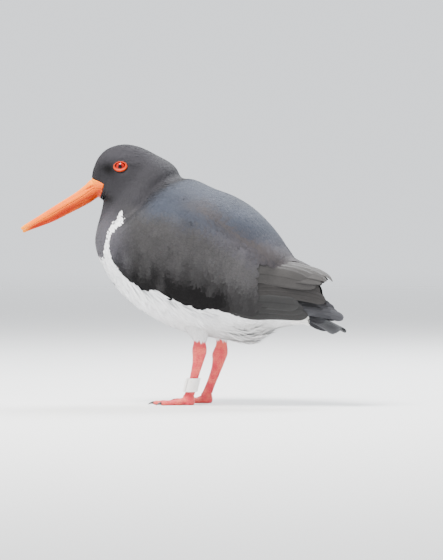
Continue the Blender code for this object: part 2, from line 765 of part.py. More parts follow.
def main():
    for obj in list(bpy.data.objects):
        bpy.data.objects.remove(obj)
    head, neck, torso = build_trunk_parts()
    build_bill(head)
    build_eyes(head)
    tail = build_tail()
    build_wings(torso, tail)
    build_legs(torso)
    build_feet()
    build_band()
    finish(head, "plumage_black")
    finish(neck, "plumage_black")
    finish(torso, "plumage_white")
    finish(tail, "tail_black")
    centre_on_floor()


main()
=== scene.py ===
import math

import bmesh
import bpy
import numpy as np
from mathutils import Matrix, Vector
from mathutils.bvhtree import BVHTree


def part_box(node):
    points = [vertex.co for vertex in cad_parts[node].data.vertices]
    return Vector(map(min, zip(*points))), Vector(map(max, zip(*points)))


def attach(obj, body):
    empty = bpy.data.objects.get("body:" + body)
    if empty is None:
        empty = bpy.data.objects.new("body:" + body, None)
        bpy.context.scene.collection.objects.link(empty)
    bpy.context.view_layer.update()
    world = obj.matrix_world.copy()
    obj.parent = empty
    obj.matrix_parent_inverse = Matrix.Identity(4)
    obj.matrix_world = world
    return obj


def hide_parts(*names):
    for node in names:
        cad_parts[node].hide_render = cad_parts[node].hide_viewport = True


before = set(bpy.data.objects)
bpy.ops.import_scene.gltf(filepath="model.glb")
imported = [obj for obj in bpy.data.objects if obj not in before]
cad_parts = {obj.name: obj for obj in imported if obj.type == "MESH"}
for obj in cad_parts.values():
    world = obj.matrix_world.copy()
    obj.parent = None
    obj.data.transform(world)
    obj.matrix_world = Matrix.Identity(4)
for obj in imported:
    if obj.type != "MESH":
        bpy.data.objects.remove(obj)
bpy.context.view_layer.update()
print("frame loaded:", len(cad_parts), "nodes")

# The bird's own sizes are in millimetres. It faces -X, its left side is -Y, and sideways sizes are mirrored.
mm = 0.001
rng = np.random.default_rng(11)
sides = {"left": -1.0, "right": 1.0}

# Sections of head, neck and trunk: top x, top z, bottom x, bottom z, half width, level of the widest point.
bodySections = [
    (-104.0, 209.0, -97.0, 192.0, 7.2, 0.50),
    (-102.2, 218.5, -94.0, 190.2, 9.8, 0.46),
    (-97.0, 229.8, -92.2, 188.6, 13.0, 0.44),
    (-88.0, 237.8, -91.6, 185.8, 17.0, 0.42),
    (-73.7, 241.5, -93.0, 180.0, 20.6, 0.42),
    (-58.0, 238.8, -96.0, 171.0, 24.5, 0.42),
    (-42.0, 231.0, -98.8, 160.0, 31.0, 0.42),
    (-29.0, 223.5, -99.5, 148.0, 40.0, 0.42),
    (-18.6, 212.5, -95.5, 135.0, 49.0, 0.44),
    (-5.0, 208.0, -88.0, 121.0, 54.5, 0.46),
    (12.0, 200.5, -77.0, 106.0, 57.5, 0.48),
    (30.0, 194.0, -60.0, 90.5, 59.0, 0.50),
    (47.0, 184.5, -40.0, 78.5, 58.0, 0.50),
    (62.0, 171.7, -18.0, 69.0, 54.5, 0.50),
    (75.0, 157.0, 8.0, 63.5, 49.0, 0.50),
    (83.0, 145.0, 32.0, 60.0, 43.0, 0.50),
    (89.0, 136.0, 52.0, 59.0, 37.0, 0.50),
]
rumpSections = [  # under the folded wings, then out along the middle of the tail
    (95.0, 121.0, 70.0, 66.5, 27.0, 0.50),
    (99.0, 106.0, 86.0, 72.5, 19.5, 0.50),
    (103.0, 95.0, 98.0, 75.5, 14.0, 0.50),
    (108.0, 88.0, 108.0, 74.0, 13.6, 0.50),
    (114.0, 84.4, 114.0, 71.4, 14.2, 0.50),
    (120.0, 80.6, 120.0, 69.6, 13.0, 0.50),
    (125.0, 76.8, 125.0, 70.0, 9.0, 0.50),
]
foldedSections = [  # the outside of the folded wings, out to their tips
    (98.0, 131.5, 72.0, 69.0, 31.0, 0.50),
    (107.0, 127.0, 92.0, 75.0, 25.0, 0.50),
    (118.0, 121.5, 108.0, 77.0, 20.0, 0.50),
    (127.0, 115.0, 122.0, 78.0, 15.0, 0.50),
    (133.5, 101.0, 131.0, 78.0, 10.5, 0.50),
    (140.5, 86.5, 139.5, 78.0, 7.0, 0.50),
    (146.0, 84.0, 145.0, 77.0, 6.0, 0.50),
]
roundness = 2.15
headTurn = math.radians(12)
turnAxisX = -50.0
viewAngle = math.radians(18)  # the picture is taken from behind the left side
eye = {
    "x": -73.8, "y": 14.0, "z": 220.1, "ball": 6.5, "out": 0.3, "pupil": 1.75,
    "rimLong": 5.85, "rimShort": 4.2, "lidLong": 4.7, "lidShort": 3.4,
}
# Forms of the face in its side view: rise, x, z, half length, half height.
faceForms = [
    (-1.7, -88.5, 217.5, 6.5, 5.5),  # lores, sunk between bill and eye
    (-0.5, eye["x"], eye["z"], 8.0, 6.0),
    (0.8, -72.0, 229.6, 11.0, 2.8),  # brow
    (0.7, -71.0, 203.0, 11.0, 9.0),  # cheek
    (-1.3, -86.0, 194.5, 6.0, 3.0),  # hollow behind the gape
]
foldDepth, ventTuck, wingRise = 2.2, 4.0, 1.3


def ease(low, high, value):
    part = np.clip((np.asarray(value, float) - low) / (high - low), 0, 1)
    return part * part * (3 - 2 * part)


def bell(value, middle, spread):
    return np.exp(-(((value - middle) / spread) ** 2))


def blob(x, z, middleX, middleZ, spreadX, spreadZ):
    return bell(x, middleX, spreadX) * bell(z, middleZ, spreadZ)


def blend(colour, other, share):  # from one colour towards another, point by point
    return colour + (np.asarray(other) - colour) * np.asarray(share)[..., None]


def unit(vectors):
    return vectors / np.maximum(np.linalg.norm(vectors, axis=-1, keepdims=True), 1e-9)


def dots(first, second):
    return (first * second).sum(-1)


def spin(count, start=0.0):  # equal steps round a circle
    return 2 * np.pi * (np.arange(count) + start) / count


def ringGrid(low, high, rings, around, start=0.5):
    return np.meshgrid(np.linspace(low, high, rings), spin(around, start), indexing="ij")


def smoothRows(rows, at):  # a smooth curve through evenly numbered rows
    rows = np.asarray(rows, float)
    at = np.asarray(at, float)
    rows = np.vstack([2 * rows[0] - rows[1], rows, 2 * rows[-1] - rows[-2]])
    low = np.clip(np.floor(at).astype(int), 0, len(rows) - 4)
    part = (at - low)[..., None]
    a, b, c, d = (rows[low + k] for k in range(4))
    return b + 0.5 * part * (c - a + part * (2 * a - 5 * b + 4 * c - d + part * (3 * (b - c) + d - a)))


def turned(points, angle):  # about the upright axis of the neck
    out = np.array(points, float)
    x, y = out[..., 0] - turnAxisX, out[..., 1].copy()
    out[..., 0] = turnAxisX + x * np.cos(angle) - y * np.sin(angle)
    out[..., 1] = x * np.sin(angle) + y * np.cos(angle)
    return out


# The row's frame is the bird's own, moved along; the solid of the left eye says how far.
eyeLow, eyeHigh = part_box("eye_left")
solidEye = turned((-74.4, -14.0, 221.2), headTurn)
frameShift = np.array((eyeLow + eyeHigh) / 2) / mm - solidEye
print("bird stands", np.round(frameShift, 3), "mm off its own origin")


class Skin:  # a surface read by u along the bird and v round it, from the top down the left side
    def at(self, u, v, lift=0.0):
        step = 0.01
        point, middle = self.ring(u, v)
        along = (self.ring(u + step, v)[0] - self.ring(u - step, v)[0]) / (2 * step)
        around = (self.ring(u, v + step)[0] - self.ring(u, v - step)[0]) / (2 * step)
        normal = unit(np.cross(along, around))
        # All are turned together, so that a hollow faces out too.
        normal *= np.sign(np.sum(normal * (point - middle)))
        rise = np.asarray(lift) + self.relief(u, point)
        return point + normal * rise[..., None], normal, along, around

    def relief(self, u, point):
        return 0.0 * point[..., 0]


class BodySkin(Skin):
    def __init__(self, sections, winged):
        self.rows = np.array(sections, float)
        self.last = len(sections) - 1
        self.winged = winged

    def ring(self, u, v):
        topX, topZ, lowX, lowZ, half, level = np.moveaxis(smoothRows(self.rows, u), -1, 0)
        power = 2 / roundness
        s, c = np.sin(v), np.cos(v)
        across = -half * np.sign(s) * np.abs(s) ** power
        rise = np.sign(c) * np.abs(c) ** power
        rise = level + rise * np.where(rise > 0, 1 - level, level)
        upX, upZ = topX - lowX, topZ - lowZ
        angle = headTurn * (1 - ease(4.5, 8.5, u))
        point = np.stack([lowX + rise * upX, across, lowZ + rise * upZ], -1)
        middle = np.stack([lowX + level * upX, 0 * across, lowZ + level * upZ], -1)
        return turned(point, angle), turned(middle, angle)

    def relief(self, u, point):
        x, y, z = np.moveaxis(turned(point, -headTurn), -1, 0)
        onHead = (1 - ease(4.2, 5.4, u)) * ease(4, 9, np.abs(y))
        rise = onHead * sum(height * blob(x, z, *form) for height, *form in faceForms)
        rise = rise - foldDepth * hoodFold(point)
        rise = rise - ventTuck * bell(x, 70.0, 15.0) * (1 - ease(64.0, 80.0, z))
        return rise + wingRise * wingCover(point) if self.winged else rise


# Where the hood meets the mantle and the breast's side there is a soft fold.
foldLine = np.array([(-14.0, 214.0), (-30.0, 210.5), (-45.0, 200.0), (-56.0, 186.0), (-70.0, 175.0)])
foldWidth = 4.5


def sideView(point):  # how far along the picture a point of either flank would be, and its height
    x, y, z = np.moveaxis(point, -1, 0)
    return x * math.cos(viewAngle) - np.abs(y) * math.sin(viewAngle), z


def hoodFold(point):
    q, z = sideView(point)
    best = np.full(q.shape, 1e9)
    for (q0, z0), (q1, z1) in zip(foldLine[:-1], foldLine[1:]):
        run = np.clip(((q - q0) * (q1 - q0) + (z - z0) * (z1 - z0)) / ((q1 - q0) ** 2 + (z1 - z0) ** 2), 0, 1)
        best = np.minimum(best, np.hypot(q - q0 - run * (q1 - q0), z - z0 - run * (z1 - z0)))
    return bell(best, 0, foldWidth)


# Folded wing seen from the side: x, lower edge z, upper edge z.
wingOutline = np.array([
    (-76.0, 147.0, 149.0), (-72.5, 144.0, 151.0), (-70.0, 138.0, 156.0), (-64.0, 129.0, 161.5),
    (-55.0, 117.5, 168.5), (-40.0, 107.5, 176.0), (-20.0, 101.0, 178.5), (0.0, 91.5, 178.0),
    (20.0, 87.3, 171.0), (40.0, 85.5, 158.5), (55.0, 83.6, 148.5), (66.0, 82.5, 145.0),
    (78.0, 81.5, 144.0), (88.0, 81.0, 143.0), (100.0, 80.3, 140.0), (114.0, 80.0, 125.0),
    (123.0, 79.8, 117.5), (128.0, 79.5, 108.0), (134.0, 79.3, 96.0), (140.5, 79.5, 84.0),
])


def wingEdges(x):  # heights of the folded wing's lower and upper edge
    return [np.interp(x, wingOutline[:, 0], wingOutline[:, k]) for k in (1, 2)]


def wingCover(point):  # 1 over the folded wing, easing to 0 round it
    x, z = point[..., 0], point[..., 2]
    low, high = wingEdges(x)
    inside = ease(-2.5, 3.0, z - low) * (1 - ease(-9.0, 5.0, z - high))
    return inside * ease(-75.5, -68.0, x)


trunk = BodySkin(bodySections + rumpSections, False)
folded = BodySkin(bodySections + foldedSections, True)


def arcTable():  # how far along the bird each u lies, for the unwrap
    u, v = ringGrid(0, trunk.last, 200, 24, 0.0)
    step = np.linalg.norm(np.diff(trunk.ring(u, v)[0], axis=0), axis=-1).mean(1)
    return u[:, 0], np.concatenate([[0], np.cumsum(step)]) / step.sum()


arcU, arcShare = arcTable()


def unwrap(u, v):
    return 0.01 + 0.98 * np.stack([np.interp(u, arcU, arcShare), np.mod(v, 2 * np.pi) / (2 * np.pi)], -1)


# Outline of the white parts in the side view: along the picture, height.
whiteOutline = np.array([
    (-130.0, 137.1), (-91.0, 138.1), (-88.8, 150.2), (-86.8, 158.3), (-84.6, 164.1), (-82.4, 169.1),
    (-78.4, 172.1), (-76.4, 176.1), (-73.6, 182.1), (-72.4, 181.6), (-73.6, 176.1), (-72.6, 172.1),
    (-71.8, 168.1), (-79.2, 162.6), (-83.2, 157.1), (-83.4, 150.1), (-82.6, 143.1), (-80.6, 137.1),
    (-79.6, 133.0), (-72.0, 124.0), (-64.0, 115.9), (-57.9, 110.8), (-51.9, 109.4), (-39.8, 108.9),
    (-31.7, 102.7), (-23.6, 98.6), (-16.6, 94.9), (-3.5, 92.1), (2.5, 94.5), (16.6, 91.1),
    (27.5, 89.7), (37.9, 85.9), (60.7, 80.7), (81.7, 78.5), (97.0, 76.6), (101.0, 73.1),
    (101.0, 0.0), (-130.0, 0.0),
])
whiteStray = 0.0  # how far the border is strewn; at 0 it is sharp, and its draws still count


def isWhite(point):
    q, z = sideView(point)
    q = q + whiteStray * rng.normal(size=q.shape)
    z = z + whiteStray * rng.normal(size=z.shape)
    inside = np.zeros(q.shape, bool)
    for (q0, z0), (q1, z1) in zip(whiteOutline, np.roll(whiteOutline, -1, axis=0)):
        if z0 != z1:
            inside ^= ((z0 <= z) != (z1 <= z)) & (q < q0 + (z - z0) * (q1 - q0) / (z1 - z0))
    return inside


def flatFaces(faces):
    return np.concatenate([np.asarray(face) for face in faces]), np.array([len(face) for face in faces])


def loftFaces(rings, around, first=0):  # a closed skin over rings of equal counts
    k, j = np.meshgrid(np.arange(rings - 1), np.arange(around), indexing="ij")
    a = first + k * around + j
    b = first + k * around + (j + 1) % around
    faces = np.stack([a, b, b + around, a + around], -1).reshape(-1, 4).tolist()
    faces.append([first + j for j in range(around)][::-1])
    faces.append([first + (rings - 1) * around + j for j in range(around)])
    return faces


def meshObject(name, points, faces, uvs=None, colours=None, rim=None):
    mesh = bpy.data.meshes.new(name)
    points = (np.asarray(points, float).reshape(-1, 3) + frameShift) * mm
    loops, counts = faces if isinstance(faces, tuple) else flatFaces(faces)
    loops, counts = loops.astype(np.int32), counts.astype(np.int32)
    mesh.vertices.add(len(points))
    mesh.vertices.foreach_set("co", points.astype(np.float32).ravel())
    mesh.loops.add(len(loops))
    mesh.loops.foreach_set("vertex_index", loops)
    mesh.polygons.add(len(counts))
    mesh.polygons.foreach_set("loop_start", np.concatenate([[0], np.cumsum(counts)[:-1]]).astype(np.int32))
    mesh.update(calc_edges=True)
    for layer, values in (uvs or {}).items():
        mesh.uv_layers.new(name=layer).uv.foreach_set("vector", values[loops].astype(np.float32).ravel())
    if colours is not None:
        stored = mesh.attributes.new("plume", "FLOAT_COLOR", "POINT")
        rgba = np.concatenate([colours.reshape(-1, 3), np.ones((len(points), 1))], 1)
        stored.data.foreach_set("color", rgba.astype(np.float32).ravel())
    mesh.polygons.foreach_set("use_smooth", [True] * len(counts))
    if rim is not None:  # keeps a feather's thin edge from shading its face
        ends = np.empty(2 * len(mesh.edges), np.int32)
        mesh.edges.foreach_get("vertices", ends)
        sharp = mesh.attributes.new("sharp_edge", "BOOLEAN", "EDGE")
        sharp.data.foreach_set("value", rim[ends].reshape(-1, 2).all(1))
    obj = bpy.data.objects.new(name, mesh)
    bpy.context.scene.collection.objects.link(obj)
    return obj


def recalc(obj):
    shell = bmesh.new()
    shell.from_mesh(obj.data)
    bmesh.ops.recalc_face_normals(shell, faces=shell.faces)
    shell.to_mesh(obj.data)
    shell.free()
    return obj


def place(obj, slotName, material, *nodes):
    obj.data.materials.clear()
    obj.data.materials.append(material)
    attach(obj, "root")
    if nodes:
        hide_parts(*nodes)


def addPiece(name, points, faces, slotName, material, nodes, uvs=None, colours=None):
    place(recalc(meshObject(name, points, faces, uvs, colours)), slotName, material, *nodes)


class Wire:  # a socket that can be used in sums
    def __init__(self, finish, socket):
        self.finish = finish
        self.socket = socket

    def maths(self, operation, first, second=0.0):
        return self.finish.node("ShaderNodeMath", {"operation": operation}, {0: first, 1: second})["Value"]

    def __add__(self, other):
        return self.maths("ADD", self, other)

    def __sub__(self, other):
        return self.maths("SUBTRACT", self, other)

    def __rsub__(self, other):
        return self.maths("SUBTRACT", other, self)

    def __mul__(self, other):
        return self.maths("MULTIPLY", self, other)

    def __abs__(self):
        return self.maths("ABSOLUTE", self)

    __radd__ = __add__
    __rmul__ = __mul__

    def wave(self):
        return self.maths("SINE", self)

    def between(self, low, high):  # 0 at low, 1 at high, eased
        inputs = {"Value": self, "From Min": low, "From Max": high}
        return self.finish.node("ShaderNodeMapRange", {"interpolation_type": "SMOOTHSTEP"}, inputs)["Result"]


class Outputs:  # those of a node, by name or number
    def __init__(self, finish, made):
        self.finish = finish
        self.made = made

    def __getitem__(self, name):
        return Wire(self.finish, self.made.outputs[name])


class Finish:  # one material
    def __init__(self, name, **constants):
        self.material = bpy.data.materials.new(name)
        self.material.use_nodes = True
        self.tree = self.material.node_tree
        self.shader = self.tree.nodes["Principled BSDF"]
        for key, value in constants.items():
            self.feed(self.shader.inputs[key.replace("_", " ")], value)

    def feed(self, socket, value):
        if isinstance(value, Wire):
            self.tree.links.new(value.socket, socket)
        elif isinstance(value, tuple) and len(value) == 3 and socket.type == "RGBA":
            socket.default_value = (*value, 1.0)
        else:
            socket.default_value = value

    def node(self, kind, settings, inputs):
        made = self.tree.nodes.new(kind)
        for key, value in settings.items():
            setattr(made, key, value)
        for key, value in inputs.items():
            self.feed(made.inputs[key], value)
        return Outputs(self, made)

    def mix(self, share, first, second, blend="MIX"):
        settings = {"data_type": "RGBA", "blend_type": blend}
        return self.node("ShaderNodeMix", settings, {0: share, 6: first, 7: second})[2]

    def where(self):
        return self.node("ShaderNodeTexCoord", {}, {})["Object"]

    def plume(self):  # the colour kept on the mesh
        return self.node("ShaderNodeAttribute", {"attribute_name": "plume"}, {})["Color"]

    def noise(self, scale, detail=2.0, spot=None):
        inputs = {"Vector": spot or self.where(), "Scale": scale, "Detail": detail}
        return self.node("ShaderNodeTexNoise", {}, inputs)["Fac"]

    def cells(self, scale, feature="F1"):
        inputs = {"Vector": self.where(), "Scale": scale}
        return self.node("ShaderNodeTexVoronoi", {"feature": feature}, inputs)["Distance"]

    def shaded(self, colour, tone):
        grey = self.node("ShaderNodeCombineXYZ", {}, {0: tone, 1: tone, 2: tone})["Vector"]
        return self.mix(1.0, colour, grey, "MULTIPLY")

    def bump(self, height, depth, strength):
        inputs = {"Strength": strength, "Distance": depth, "Height": height}
        self.feed(self.shader.inputs["Normal"], self.node("ShaderNodeBump", {}, inputs)["Normal"])

    def colour(self, value):
        self.feed(self.shader.inputs["Base Color"], value)

    def rough(self, value):
        self.feed(self.shader.inputs["Roughness"], value)


def plumageFinish(name, roughness, sheen, barbs, grain):
    look = Finish(name, Roughness=roughness, Sheen_Weight=sheen, Sheen_Roughness=0.5, Specular_IOR_Level=0.06)
    vane = look.node("ShaderNodeUVMap", {"uv_map": "vane"}, {})["UV"]
    parts = look.node("ShaderNodeSeparateXYZ", {}, {0: vane})
    across = abs(parts["X"] - 0.5)
    barb = ((parts["Y"] * barbs - across * (barbs * 0.45)) * (2 * math.pi)).wave()
    patch = look.noise(420.0, 3.0)
    shade = barb * (0.5 * grain) + (patch - 0.5) * (2.4 * grain) + 1.0
    shaft = 1.0 - across.between(0.015, 0.05)
    look.colour(look.shaded(look.plume(), shade - shaft * 0.18))
    look.bump(barb * 0.5 + shaft * 1.5, 0.00012, 0.5)
    return look.material


softBlack = plumageFinish("soft_black_plumage", 0.62, 0.03, 60.0, 0.08)
sleekBlack = plumageFinish("sleek_black_plumage", 0.55, 0.0, 46.0, 0.07)
softWhite = plumageFinish("soft_white_plumage", 0.8, 0.0, 50.0, 0.04)
flightBlack = plumageFinish("flight_feather_plumage", 0.5, 0.0, 150.0, 0.07)


class Tuft:  # outline of one feather: where its stations are, how wide there, and how many points across
    def __init__(self, stations, widths, columns):
        self.stations, self.widths, self.columns = stations, widths, columns
        across = np.linspace(-1, 1, columns)
        rows = len(stations)
        self.size = rows * columns + 1
        faces = []
        for k in range(rows - 1):
            low, high = k * columns, (k + 1) * columns
            faces += [(low + c, low + c + 1, high + c + 1, high + c) for c in range(columns - 1)]
            faces.append((high - 1, low, high, high + columns - 1))
        last, tip = (rows - 1) * columns, rows * columns
        faces += [(last + c, last + c + 1, tip) for c in range(columns - 1)]
        faces += [(tip - 1, last, tip), tuple(range(columns))[::-1]]
        self.loops, self.counts = flatFaces(faces)
        self.triangles = int((self.counts - 2).sum())
        self.vane = np.array([(0.5 + 0.5 * a, t) for t in stations for a in across] + [(0.5, 1.0)])
        self.rim = np.zeros(self.size, bool)
        self.rim[[k * columns + c for k in range(rows) for c in (0, columns - 1)] + [tip]] = True


softTuft = Tuft((0.0, 0.36, 0.72), (0.7, 1.0, 0.62), 3)
roundTuft = Tuft((0.0, 0.3, 0.62, 0.87), (0.55, 0.9, 1.0, 0.72), 3)
broadTuft = Tuft((0.0, 0.22, 0.45, 0.67, 0.85, 0.96), (0.5, 0.8, 0.97, 1.0, 0.84, 0.5), 5)
bakePatch = 0.003


def layTufts(name, skin, tuft, u, v, length, width, root, tip, colour, yaw, aim=None, ridge=0.03,
             tipTone=1.03, rootTone=0.92):
    count = len(u)
    _, normal, along, around = skin.at(u, v)
    ahead = unit(along)
    if aim is not None:  # a direction of their own in place of the body's sections', and how strongly
        ahead = unit(ahead * (1 - aim[:, 3:]) + aim[:, :3] * aim[:, 3:])
        ahead = unit(ahead - normal * dots(ahead, normal)[:, None])
    ahead = ahead * np.cos(yaw)[:, None] + unit(np.cross(ahead, normal)) * np.sin(yaw)[:, None]
    gUU, gUV, gVV = dots(along, along), dots(along, around), dots(around, around)
    bU, bV = dots(ahead, along), dots(ahead, around)
    det = gUU * gVV - gUV * gUV
    du, dv = (bU * gVV - bV * gUV) / det, (gUU * bV - gUV * bU) / det
    points = np.empty((count, tuft.size, 3))
    for k, t in enumerate((*tuft.stations, 1.0)):
        lift = tip * t - root * (1 - t) ** 2
        middle, normal, _, _ = skin.at(u + du * length * t, v + dv * length * t, lift)
        if t == 1.0:
            points[:, -1] = middle
            continue
        across = np.cross(unit(ahead - normal * dots(ahead, normal)[:, None]), normal)
        half = 0.5 * width * tuft.widths[k]
        for c, a in enumerate(np.linspace(-1, 1, tuft.columns)):
            bulge = 2 * ridge * half * (1 - a * a)
            points[:, k * tuft.columns + c] = middle + across * (a * half)[:, None] + normal * bulge[:, None]
    tone = rootTone + (tipTone - rootTone) * tuft.vane[:, 1] ** 0.8
    start = (np.arange(count) * tuft.size)[:, None]
    faces = ((start + tuft.loops[None]).ravel(), np.tile(tuft.counts, count))
    patch = unwrap(u, v)[:, None] + bakePatch * (tuft.vane - 0.5)
    uvs = {"OFBake": patch.reshape(-1, 2), "vane": np.tile(tuft.vane, (count, 1))}
    print(f"{name}: {count} feathers, {count * tuft.triangles} triangles")
    colours = colour[:, None, :] * tone[None, :, None]
    return meshObject(name, points, faces, uvs, colours, np.tile(tuft.rim, count))


evenSteps = (0.7548776662466927, 0.5698402909980532)


def evenPairs(count):  # pairs of numbers from 0 to 1 that fill a square evenly
    return [(0.5 + np.arange(count) * step) % 1 for step in evenSteps]


def scatter(skin, low, high, spacing, keep):  # evenly over the skin, closer where spacing says
    uEdges = np.linspace(low, high, 421)
    vEdges = np.linspace(0, 2 * np.pi, 301)
    middles = [0.5 * (edges[1:] + edges[:-1]) for edges in (uEdges, vEdges)]
    uMiddle, vMiddle = np.meshgrid(*middles, indexing="ij")
    point, _, along, around = skin.at(uMiddle, vMiddle)
    area = np.linalg.norm(np.cross(along, around), axis=-1)
    area = area * (uEdges[1] - uEdges[0]) * (vEdges[1] - vEdges[0])
    want = area / spacing(uMiddle, point) ** 2 * keep(uMiddle, vMiddle, point)
    rowSum = want.sum(1)
    total = int(rowSum.sum())
    a, b = evenPairs(total)
    rowShare = np.concatenate([[0], np.cumsum(rowSum)]) / rowSum.sum()
    u = np.interp(a, rowShare, uEdges)
    row = np.clip(np.searchsorted(rowShare, a, "right") - 1, 0, len(rowSum) - 1)
    v = np.empty(total)
    for k in range(len(rowSum)):
        chosen = row == k
        if chosen.any():
            share = np.concatenate([[0], np.cumsum(want[k])]) / max(rowSum[k], 1e-9)
            v[chosen] = np.interp(b[chosen], share, vEdges)
    point, _, along, around = skin.at(u, v)
    gap = 0.25 * spacing(u, point)
    u = u + gap * rng.uniform(-1, 1, total) / np.linalg.norm(along, axis=1)
    v = v + gap * rng.uniform(-1, 1, total) / np.linalg.norm(around, axis=1)
    point = skin.at(u, v)[0]
    chosen = (keep(u, v, point) > 0.5) & (u > low) & (u < high)
    return u[chosen], v[chosen], point[chosen]


def halfway(skin, u, v):  # where a feather rooted here shows most
    point, _, along, _ = skin.at(u, v)
    return point + unit(along) * (0.55 * grow(u, "length"))[..., None]


# Feathers of head, neck and trunk, one row for each section.
growthColumns = ("spacing", "length", "width", "root", "tip")  # root is its depth, tip its rise
featherGrowth = np.array([
    (0.66, 2.6, 1.05, 0.45, 0.12), (0.68, 2.8, 1.15, 0.45, 0.12), (0.74, 3.2, 1.3, 0.5, 0.14),
    (0.82, 3.9, 1.5, 0.6, 0.16), (0.92, 4.8, 1.8, 0.7, 0.17), (1.05, 5.9, 2.2, 0.9, 0.20),
    (1.22, 7.1, 2.8, 1.1, 0.23), (1.40, 8.5, 3.5, 1.4, 0.26), (1.58, 9.7, 4.2, 1.7, 0.28),
    (1.74, 10.8, 4.9, 1.9, 0.30), (1.86, 11.8, 5.4, 2.1, 0.32), (1.96, 12.8, 5.8, 2.2, 0.34),
])
# Where the bill's bare base ends, seen from the side of the unturned head: height, x.
billEdge = np.array([
    (186.0, -99.0), (189.5, -96.5), (191.7, -94.6), (196.7, -92.2), (201.0, -90.2), (204.1, -89.4),
    (206.0, -92.5), (209.8, -102.2), (211.0, -120.0),
])


def grow(u, name):
    return np.interp(u, np.arange(len(featherGrowth)), featherGrowth[:, growthColumns.index(name)])


def billFront(z):
    return np.interp(z, billEdge[:, 0], billEdge[:, 1])


def throat(u, v):  # 1 in the hollow under the bill, where straight feathers would sink in
    return ease(4.4, 3.4, u) * bell(v, np.pi, 0.9)


def scapularEdge(x):  # height of the lower edge of the long shoulder feathers
    return np.interp(x, (-60.0, -30.0, 10.0, 40.0, 63.5, 92.0), (196.0, 190.0, 176.0, 155.0, 139.5, 132.0))


def onShoulder(x, z, soft=4.0):
    return ease(-soft, soft, z - scapularEdge(x))


def bareFace(u, point):  # the eye's rim and the bill's base carry no feathers
    x, _, z = np.moveaxis(turned(point, -headTurn), -1, 0)
    rim = (((x - eye["x"] + 1.2) / 6.4) ** 2 + ((z - eye["z"]) / 4.9) ** 2 < 1) & (u < 5)
    bill = (x < billFront(z) - 1.6) & (z > 191.2) & (u < 3.2)
    return rim | bill


def darkKeep(u, v, point):
    x, y, z = np.moveaxis(point, -1, 0)
    onBack = 80.0 + 17.0 * bell(y, 0.0, np.where(y > 0, 19.0, 9.0))  # how far back they reach
    reach = np.where(z > scapularEdge(x), onBack, 57.0)
    overhang = (x > 36) & (z < 87.5)
    return (~isWhite(halfway(folded, u, v)) & (x < reach) & ~overhang & ~bareFace(u, point)).astype(float)


def darkSpacing(u, point):
    x, z = point[..., 0], point[..., 2]
    shoulder = onShoulder(x, z)
    wider = 0.25 * shoulder + 0.15 * (1 - shoulder) * ease(-20, 30, x)
    return grow(u, "spacing") * (1 + ease(-70, -20, x) * wider)


def patches(point, size, seed):  # soft random light and dark places
    x, y, z = np.moveaxis(point, -1, 0) / size
    total = 0.0
    for k in range(5):
        angle = seed + 2.4 * k
        run = (1 + 0.37 * k) * (x * math.cos(angle) + z * math.sin(angle))
        total = total + np.sin(run + 1.7 * k + np.sin(y + 2.1 * k + seed))
    return total / 3.0


# The mantle's paler blue-grey is partly a painted sky reflection on the dark feathers.
plumageTones = {
    "hood": np.array((0.0225, 0.0215, 0.0248)), "mantle": np.array((0.0365, 0.0415, 0.0555)),
    "covert": np.array((0.038, 0.0365, 0.0375)), "warm": np.array((0.048, 0.042, 0.041)),
    "deep": np.array((0.0035, 0.0032, 0.0035)), "white": np.array((0.90, 0.905, 0.92)),
    "shadedWhite": np.array((0.52, 0.515, 0.51)),
}
# Painted shadows of small gaps between feathers (the first four), then lighter and darker places, in the side
# view: change, along, height, half length, half height.
gapShadowsAndSpots = [
    (-0.55, -31.0, 195.3, 3.6, 1.3), (-0.35, -15.8, 189.7, 3.4, 1.2), (-0.3, -16.7, 172.0, 3.4, 1.1),
    (-0.35, 0.0, 178.8, 4.0, 1.2), (0.22, -31.0, 174.2, 3.5, 3.0), (0.20, -49.6, 162.7, 4.0, 3.5),
    (0.16, -14.0, 160.2, 4.0, 5.0), (0.25, -2.0, 136.2, 3.2, 2.0), (0.18, 27.0, 186.0, 16.0, 4.0),
    (0.16, 48.0, 163.0, 14.0, 3.0), (-0.2, 22.0, 150.0, 12.0, 2.4), (-0.16, 50.0, 138.0, 10.0, 2.6),
]
# Lighter streaks in the black front of the wing: along, height, half length, half height.
frontStreaks = [
    (-46.5, 111.0, 4.5, 7.0), (-62.3, 135.8, 1.5, 8.0), (-56.0, 131.5, 1.2, 5.0), (-43.7, 129.3, 2.0, 8.0),
    (-37.5, 131.0, 1.5, 6.0), (-31.0, 124.6, 2.2, 7.0), (-14.0, 116.0, 4.0, 5.0), (-5.0, 108.0, 6.0, 4.0),
]


def headShade(u, point, normal):  # painted shade in the lores, behind the gape and under the brow, painted light on the crown and painted shade on the underside
    x, _, z = np.moveaxis(turned(point, -headTurn), -1, 0)
    onHead = 1 - ease(4.0, 7.0, u)
    lores = blob(x, z, -87.8, 217.6, 6.0, 5.0) * onHead
    gape = blob(x, z, -86.0, 194.5, 5.5, 3.6) * onHead
    brow = blob(x, z, -65.0, 223.6, 7.0, 2.4) * onHead * (x > -74)
    faceShade = 1 - 0.93 * lores - 0.92 * gape * (1 - lores) - 0.5 * brow
    under = ease(0.1, 0.8, -normal[:, 2]) * (u < 9)
    return faceShade * (1 + (0.68 * ease(216, 232, z) - 0.14) * onHead) * (1 - 0.35 * under)


